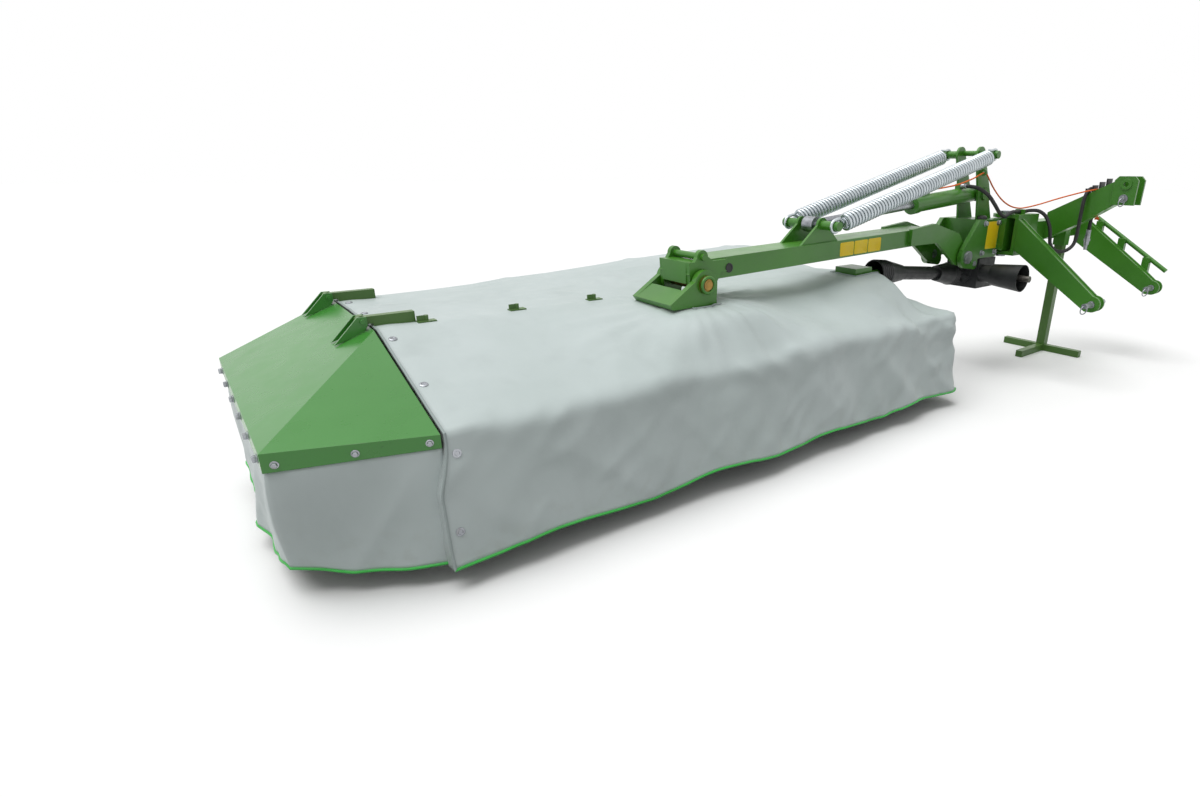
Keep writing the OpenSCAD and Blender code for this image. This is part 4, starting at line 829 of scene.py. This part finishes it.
def ease(t):
    t = min(1.0, max(0.0, t))
    return t * t * (3 - 2 * t)


def cover_rise(p):
    """How far the cloth is held above its plain roof: on the front slope, at the rear and by the slits."""
    x, y, z = p
    share = min(1.0, max(0.0, (z - SKIRT_Z) / (TOP_Z - SKIRT_Z)))
    if share <= 0:
        return 0.0
    arch = 0.0
    if y < TOP_FRONT:
        up = min(1.0, (y - FRONT) / (TOP_FRONT - FRONT))
        arch = ARCH * math.sin(math.pi * up) * ease((x + 1.9) / 0.7) * ease((0.3 - x) / 0.4)
    rear = REAR_RISE * ease((x + 1.8) / 1.9) * ease((y - 0.13) / 0.5) * share
    tent = 0.0
    for (x0, x1, y0, y1), (top, reach) in zip(SLITS, TENTS):
        away = math.hypot(max(x0 - x, 0, x - x1), max(y0 - y, 0, y - y1))
        rise = max(0.0, top - z - arch) * math.exp(-(away / reach) ** 2) * ease(share * 4)
        tent = max(tent, rise * ease((SHAFT_X - x) / 0.06))
    return arch + rear + tent


def roof_lift(p):
    """Sag between the bows, waves, folds about the carrier and creases."""
    x, y, z = p
    rise = WAVE * wrinkle((x * 0.7, y, z), 3.2, 4.0)
    for a, b in zip(BOWS[:-1], BOWS[1:]):
        if a < x < b:
            rise -= SAG * math.sin(math.pi * (x - a) / (b - a)) ** 2
    turn = math.atan2(y - FAN_Y, x - FAN_X)
    fold = ridge((turn * 2.6, math.hypot(x - FAN_X, y - FAN_Y) * 0.8, 0), 1.7, 8.0)
    rise += FAN * near((x, y, 0), (FAN_X, -0.12, 0), 0.5) * fold
    return rise + ROOF_CREASE * ridge((x * 0.5, y * 1.6, 0), 5.5, 21.0)


def skirt_lift(p):
    """Waves, slanting folds and creases, and the crumpled inner corner."""
    x, y, z = p
    down = (SKIRT_Z - z) / (SKIRT_Z - HEM_Z)
    rise = (SKIRT_WAVE + HEM_GAIN * down) * (wrinkle((x + z * 0.45, y, z * 0.3), 3.4, 31.0, 2) + 0.15)
    rise += SKIRT_FOLD * (ridge((x + z * 0.7, y, z * 0.4), 3.8, 17.0) - 0.4)
    rise += SKIRT_CREASE * ridge((x - z * 0.9, y, z * 0.5), 8.5, 63.0)
    return rise + SKIRT_CRUMPLE * near(p, *SKIRT_CRUMPLED) * wrinkle(p, 10.0, 5.0, 2)


def cover_lift(p):
    """How far the cloth stands off its plain shape at a point: sag between bows, folds and creases."""
    x, y, z = p
    rise = 0.0
    roof = ease((z - ROOF_Z) / ROOF_FADE)
    if roof > 0:
        rise += roof * roof_lift(p)
        crumple = sum(near(p, *place) for place in ROOF_CRUMPLED)
        rise += ROOF_CRUMPLE * crumple * wrinkle(p, 7.0, 13.0, 2)
    if y < SHOULDER_Y:
        bend = math.exp(-((z - SHOULDER_Z) / SHOULDER_REACH) ** 2)
        fold = wrinkle((x, 0, z * 2.0), 3.4, 44.0, 2) + 0.6 * ridge((x + z * 1.5, 0, 0), 4.6, 51.0) - 0.2
        rise += SHOULDER * bend * fold
    if roof < 1:
        rise += (1 - roof) * skirt_lift(p)
    calm = 1 - min(1.0, sum(near(p, c, CALM_REACH) for c in CALM))
    carried = over_bow(x) * ease((z - 0.3) / 0.1)
    return max(rise * calm * (1 - carried * (rise < 0)), BOW_RISE * carried)


def hem_rise(x, y):
    """How far the hem hangs above its plain line, in uneven waves."""
    wave = 0.5 + 0.5 * math.cos(2 * math.pi * (x - OUT_X) / HEM_WAVE)
    loose = 0.5 + 0.5 * noise.noise(Vector((x * 3.1, y * 3.1, 7.0)))
    return HEM_RISE * (1 - wave) * ease((x - OUT_X) / 0.25) * loose + HEM_LOOSE * loose


def cut_slits(verts, faces):
    """Moves the points beside each slit to its edge and leaves out the faces inside."""
    verts = verts.copy()
    for x0, x1, y0, y1 in SLITS:
        roof = verts[:, 2] > CUT_Z
        for axis, ends, (start, end) in ((0, (x0, x1), (y0, y1)), (1, (y0, y1), (x0, x1))):
            place = verts[:, 1 - axis]
            beside = (place > start - SLIT_ROOM) & (place < end + SLIT_ROOM) & roof
            for e in ends:
                close = beside & (np.abs(verts[:, axis] - e) < SNAP)
                verts[close, axis] = e
    x, y, z = verts[np.array(faces)].mean(1).T
    gone = np.zeros(len(faces), bool)
    for x0, x1, y0, y1 in SLITS:
        gone |= (x > x0) & (x < x1) & (y > y0) & (y < y1) & (z > CUT_Z)
    return verts, [f for f, g in zip(faces, gone) if not g]


def thicken(obj):
    solid = obj.modifiers.new("sheet", "SOLIDIFY")
    solid.thickness = CLOTH_T
    solid.offset = -1


def roof_height(x, y):
    """Height of the plain cover at a place on its roof."""
    front = SKIRT_Z + (TOP_Z - SKIRT_Z) * (y - FRONT) / (TOP_FRONT - FRONT)
    end = SKIRT_Z + (TOP_Z - SKIRT_Z) * (END_X - x) / (END_X - TOP_X)
    return min(front, end, TOP_Z)


def slit_edge(x0, x1, y0, y1):
    """Points around a slit, on the raised cloth."""
    corners = [(x0, y0), (x1, y0), (x1, y1), (x0, y1)]
    edge = []
    for a, b in zip(corners, corners[1:] + corners[:1]):
        for k in range(SLIT_STEPS):
            x, y = (s + (e - s) * k / SLIT_STEPS for s, e in zip(a, b))
            p = (x, y, roof_height(x, y))
            edge.append((x, y, p[2] + cover_rise(p) + cover_lift(p)))
    return np.array(edge)


def drape(verts, faces):
    """The plain cover's points as the cloth hangs, and the normals that its folds stand off along."""
    verts = verts.copy()
    lift = np.array([cover_lift(p) for p in verts])
    verts[:, 2] += [cover_rise(p) for p in verts]
    flap = [ease((FLAP_Z - z) / FLAP_FADE) * max(0.0, 1 - (x - OUT_X) / FLAP_L) * (y < 0)
            for x, y, z in verts]
    verts[:, 0] -= FLAP * np.array(flap)
    down = np.clip((SKIRT_Z - verts[:, 2]) / (SKIRT_Z - HEM_Z), 0, 1)
    verts[:, 2] += down ** 2 * [hem_rise(p[0], p[1]) for p in verts]
    normals = vertex_normals(verts, faces)
    moved = verts + normals * np.clip(lift, FOLD_IN, FOLD_OUT)[:, None]
    moved[:, 2] = np.maximum(moved[:, 2], HEM_Z - HEM_DROP)
    return moved, normals


def add_cover():
    plain, faces, hem, top_line = build_cover()
    plain, faces = cut_slits(plain, faces)
    moved, normals = drape(plain, faces)
    # The outer seam runs up the front, over the top and down the rear, with a lip turned in behind it
    width, rows = len(hem), ROWS_SKIRT + ROWS_ROOF + 1
    front = [r * width for r in range(rows)]
    rear = [r * width + width - 1 for r in range(rows - 1, -1, -1)]
    seam = front + top_line + rear
    lip = moved[seam] - normals[seam] * LIP + (-CLOTH_T, 0, 0)
    start = len(moved)
    lip_faces = [(seam[k + 1], seam[k], start + k, start + k + 1) for k in range(len(seam) - 1)]
    sheet = piece("cover_sheet", np.concatenate([moved, lip]), faces + lip_faces, cloth)
    thicken(sheet)
    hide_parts("cover")
    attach(sheet, "mower")
    cord = piece("cover_piping", *sweep(moved[hem], PIPING_R, 8), piping)
    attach(cord, "mower")
    trims = [sweep(moved[seam] + (0.002, 0, -0.001), SEAM_R, 8)]
    trims += [sweep(slit_edge(*slit), BINDING_R, 8, closed=True) for slit in SLITS]
    bound = fitting("cover_binding", cloth_edge, "mower", trims)
    outward = vertex_normals(moved, faces)
    eyes = []
    for y, z in EYELETS:
        at = int(np.argmin(np.linalg.norm(plain - (EYELET_X, y, z), axis=1)))
        eyes.append(turned(EYELET, moved[at] + outward[at] * EYELET_OFF, outward[at], 22))
    rings = fitting("cover_eyelets", zinc, "mower", eyes)


# The hood's outline, and the curtain's upper edge and points along its three sides and down it
HOOD_X, HOOD_END = -1.9625, -2.3515
HOOD_FRONT, HOOD_REAR = -0.358, 0.667
CURTAIN_Z = 0.409
# How far the curtain is set in, depths of its folds, belly and creases, and the most that it stands out
SET_IN, TOP_FOLD, LOW_FOLD, BELLY, CRINKLE, STAND_OUT = -0.003, 0.001, 0.034, 0.016, 0.016, 0.02
CURTAIN_SIDES, CURTAIN_ROWS = (44, 96, 44), 26


def crinkle(*place):
    return noise.noise(Vector(place))


def curtain_push(s, z, f):
    """How far the curtain stands out at a length along it, a height and a share of the way down."""
    fold = crinkle(s * 4.2 + z, z * 1.1, 3.0) + 0.5 * crinkle(s * 9.0 - z * 2, z * 1.6, 8.0)
    push = SET_IN + (TOP_FOLD + LOW_FOLD * f) * fold + BELLY * f * (1 - f)
    push += CRINKLE * min(1.0, 2 * f) * (0.4 - 2 * abs(crinkle(s * 3.4 + z * 2.2, z * 0.8, 15.0)))
    return min(push, STAND_OUT)


def add_curtain():
    plan = [(HOOD_X, FRONT, 0), (HOOD_END, HOOD_FRONT, 0), (HOOD_END, HOOD_REAR, 0), (HOOD_X, REAR, 0)]
    tight, loose = (corner_path(plan, CURTAIN_SIDES, radius) for radius in (0.03, 0.2))
    n = len(tight)
    run = np.concatenate([[0], np.cumsum(np.linalg.norm(np.diff(tight, axis=0), axis=1))])
    verts = []
    for r in range(CURTAIN_ROWS + 1):
        f = r / CURTAIN_ROWS
        z = CURTAIN_Z + (HEM_Z - CURTAIN_Z) * f
        line = tight + (loose - tight) * ease(f * 1.15)
        tangent = np.gradient(line, axis=0)
        out = np.stack([tangent[:, 1], -tangent[:, 0], np.zeros(n)], 1)
        out /= np.linalg.norm(out, axis=1)[:, None]
        if out[n // 2][0] > 0:
            out = -out
        for c, s in enumerate(run):
            p = line[c] + out[c] * curtain_push(s, z, f)
            ends = min(s, run[-1] - s)
            droop = 0.014 * crinkle(s * 3.0, 1.0, 2.0) + 0.02 * math.exp(-((ends - 0.42) / 0.14) ** 2)
            verts.append((p[0], p[1], z + droop * f * f))
    verts = np.array(verts)
    sheet = piece("curtain_sheet", verts, grid_faces(CURTAIN_ROWS + 1, n), cloth)
    thicken(sheet)
    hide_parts("end_curtain")
    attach(sheet, "hood")
    cord = piece("curtain_piping", *sweep(verts[CURTAIN_ROWS * n:], PIPING_R, 8), piping)
    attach(cord, "hood")


add_cover()
add_curtain()


# Plates, bolts and small fittings

# Near faces of the boom and the swing head, and the boom's slope
BOOM_FACE, HEAD_FACE, SLOPE = -0.1525, -0.2025, 0.0327
# Blank plates, the middle one of the boom's three at this height
BOARD_X, BOARD_Z, BOARD_W, BOARD_H = (0.03, 0.132, 0.234), 0.7645, 0.097, 0.062
HEAD_BOARD, HEAD_BOARD_W, HEAD_BOARD_H = (1.2485, HEAD_FACE, 0.763), 0.12, 0.15
# Points around each of a plate's corners
TAG_STEPS = 6
# Turned fittings as (radius, length) pairs
GROMMET = [(0.004, -0.001), (0.019, -0.001), (0.019, 0.002), (0.014, 0.003), (0.012, 0.001), (0.004, 0.0005)]
BOSS = [(0.004, -0.001), (0.021, -0.001), (0.021, 0.003), (0.017, 0.005), (0.014, 0.0035), (0.004, 0.0035)]
HEAD_PLUG = [(0.004, -0.001), (0.026, -0.001), (0.027, 0.006), (0.022, 0.016), (0.014, 0.02), (0.004, 0.021)]
GROMMET_AT, HEAD_PLUG_AT = (-0.694, BOOM_FACE, 0.735), (1.19, -0.16, 0.85)
# The mower's pin, with a collar and a boss on the face at each end
PIN_X, PIN_Z, PIN_ENDS, COLLAR_R, COLLAR_WIRE = -0.8515, 0.69, ((-0.2145, -1), (0.0595, 1)), 0.0295, 0.0065
# Widths across flats of the hood's and the head's bolts, and their places
HOOD_BOLT_Z, END_BOLT, SIDE_BOLT, HEAD_BOLT = 0.428, 0.0165, 0.0135, 0.022
END_BOLTS, END_BOLT_RUN, SIDE_BOLTS = 6, 0.905, (0.07, 0.5, 0.93)
HEAD_BOLTS = ((1.155, 0.83), (1.155, 0.67), (1.295, 0.67), (1.295, 0.83))
# Ends of the shaft guard's tube, and its bells' ribs with their places from those ends
GUARD_NEAR, GUARD_FAR = np.array([1.0885, BOOM_Y, 0.545]), np.array([0.4085, BOOM_Y, 0.61])
RIBS_NEAR, RIBS_FAR = (0.008, 0.022, 0.036), (-0.054, -0.038, -0.022, -0.006, 0.01, 0.026)
RIB_R, RIB_WIRE = 0.0608, 0.004
# Ends of the pins that carry lynch rings
LYNCH_AT = [(1.7245, -0.6605, 0.97), (1.2525, -0.7575, 0.445), (2.1185, -0.7575, 0.445)]
LYNCH_R, LYNCH_WIRE, LYNCH_AXIS, LYNCH_HANG = 0.022, 0.003, (0.35, 1, 0.1), (-0.002, 0, -0.02)


def tag(centre, along, up, width, height, thick=0.0014, corner=0.007):
    """Vertices and faces of a thin plate with rounded corners and a soft rim."""
    along, up = unit(along), unit(up)
    outward = np.cross(along, up)
    outline = []
    for sx, sy, start in ((1, 1, 0), (-1, 1, 90), (-1, -1, 180), (1, -1, 270)):
        for k in range(TAG_STEPS):
            a = math.radians(start + 90 * k / (TAG_STEPS - 1))
            outline.append((sx * (width / 2 - corner) + corner * math.cos(a),
                            sy * (height / 2 - corner) + corner * math.sin(a)))
    layers = ((1, -0.0004), (1, thick * 0.6), (0.985, thick))
    verts = [np.asarray(centre) + along * u * f + up * v * f + outward * h
             for f, h in layers for u, v in outline]
    return verts, tube_faces(len(layers), len(outline))


def add_plates():
    boards = [tag((x, BOOM_FACE, BOARD_Z + (x - BOARD_X[1]) * SLOPE), (1, 0, SLOPE), (-SLOPE, 0, 1),
                  BOARD_W, BOARD_H) for x in BOARD_X]
    fitting("boom_plates", yellow, "boom", boards)
    board = tag(HEAD_BOARD, (1, 0, 0), (0, 0, 1), HEAD_BOARD_W, HEAD_BOARD_H)
    fitting("head_plate", yellow, "head", [board])
    fitting("boom_grommet", plastic, "boom", [turned(GROMMET, GROMMET_AT, (0, -1, 0))])
    collars, bosses = [], []
    for face, way in PIN_ENDS:
        centre = (PIN_X, face, PIN_Z)
        collars.append(hoop(centre, (0, 1, 0), COLLAR_R, COLLAR_WIRE, sides=10))
        bosses.append(turned(BOSS, centre, (0, way, 0)))
    fitting("pin_collars", green, "mower", collars)
    fitting("pin_bosses", brass, "mower", bosses)
    fitting("head_plug", plastic, "head", [turned(HEAD_PLUG, HEAD_PLUG_AT, (0, 0, 1))])


def add_bolts():
    middle = (HOOD_FRONT + HOOD_REAR) / 2
    places = [middle + END_BOLT_RUN * (i / (END_BOLTS - 1) - 0.5) for i in range(END_BOLTS)]
    hood = [bolt((HOOD_END, y, HOOD_BOLT_Z), (-1, 0, 0), END_BOLT) for y in places]
    depth = HOOD_X - HOOD_END
    for way, y0, y1 in ((-1, FRONT, HOOD_FRONT), (1, REAR, HOOD_REAR)):
        for f in SIDE_BOLTS:
            place = (HOOD_X - depth * f, y0 + (y1 - y0) * f, HOOD_BOLT_Z)
            hood.append(bolt(place, (-abs(y1 - y0), way * depth, 0), SIDE_BOLT))
    fitting("hood_bolts", zinc, "hood", hood)
    head = [bolt((x, HEAD_FACE, z), (0, -1, 0), HEAD_BOLT) for x, z in HEAD_BOLTS]
    fitting("head_bolts", zinc, "head", head)


def add_bell_ribs():
    """Ribs of the shaft guard's two bells."""
    along = unit(GUARD_FAR - GUARD_NEAR)
    for name, base, way, body, places in (("bell_ribs_inner", GUARD_NEAR, along, "drive_tilt", RIBS_NEAR),
                                          ("bell_ribs_outer", GUARD_FAR, -along, "drive_slide", RIBS_FAR)):
        fitting(name, plastic, body, [hoop(base + way * s, way, RIB_R, RIB_WIRE) for s in places])


def add_lynch_rings():
    rings = [hoop(np.add(at, LYNCH_HANG), LYNCH_AXIS, LYNCH_R, LYNCH_WIRE, steps=28) for at in LYNCH_AT]
    fitting("lynch_rings", zinc, "frame", rings)


add_plates()
add_bolts()
add_bell_ribs()
add_lynch_rings()
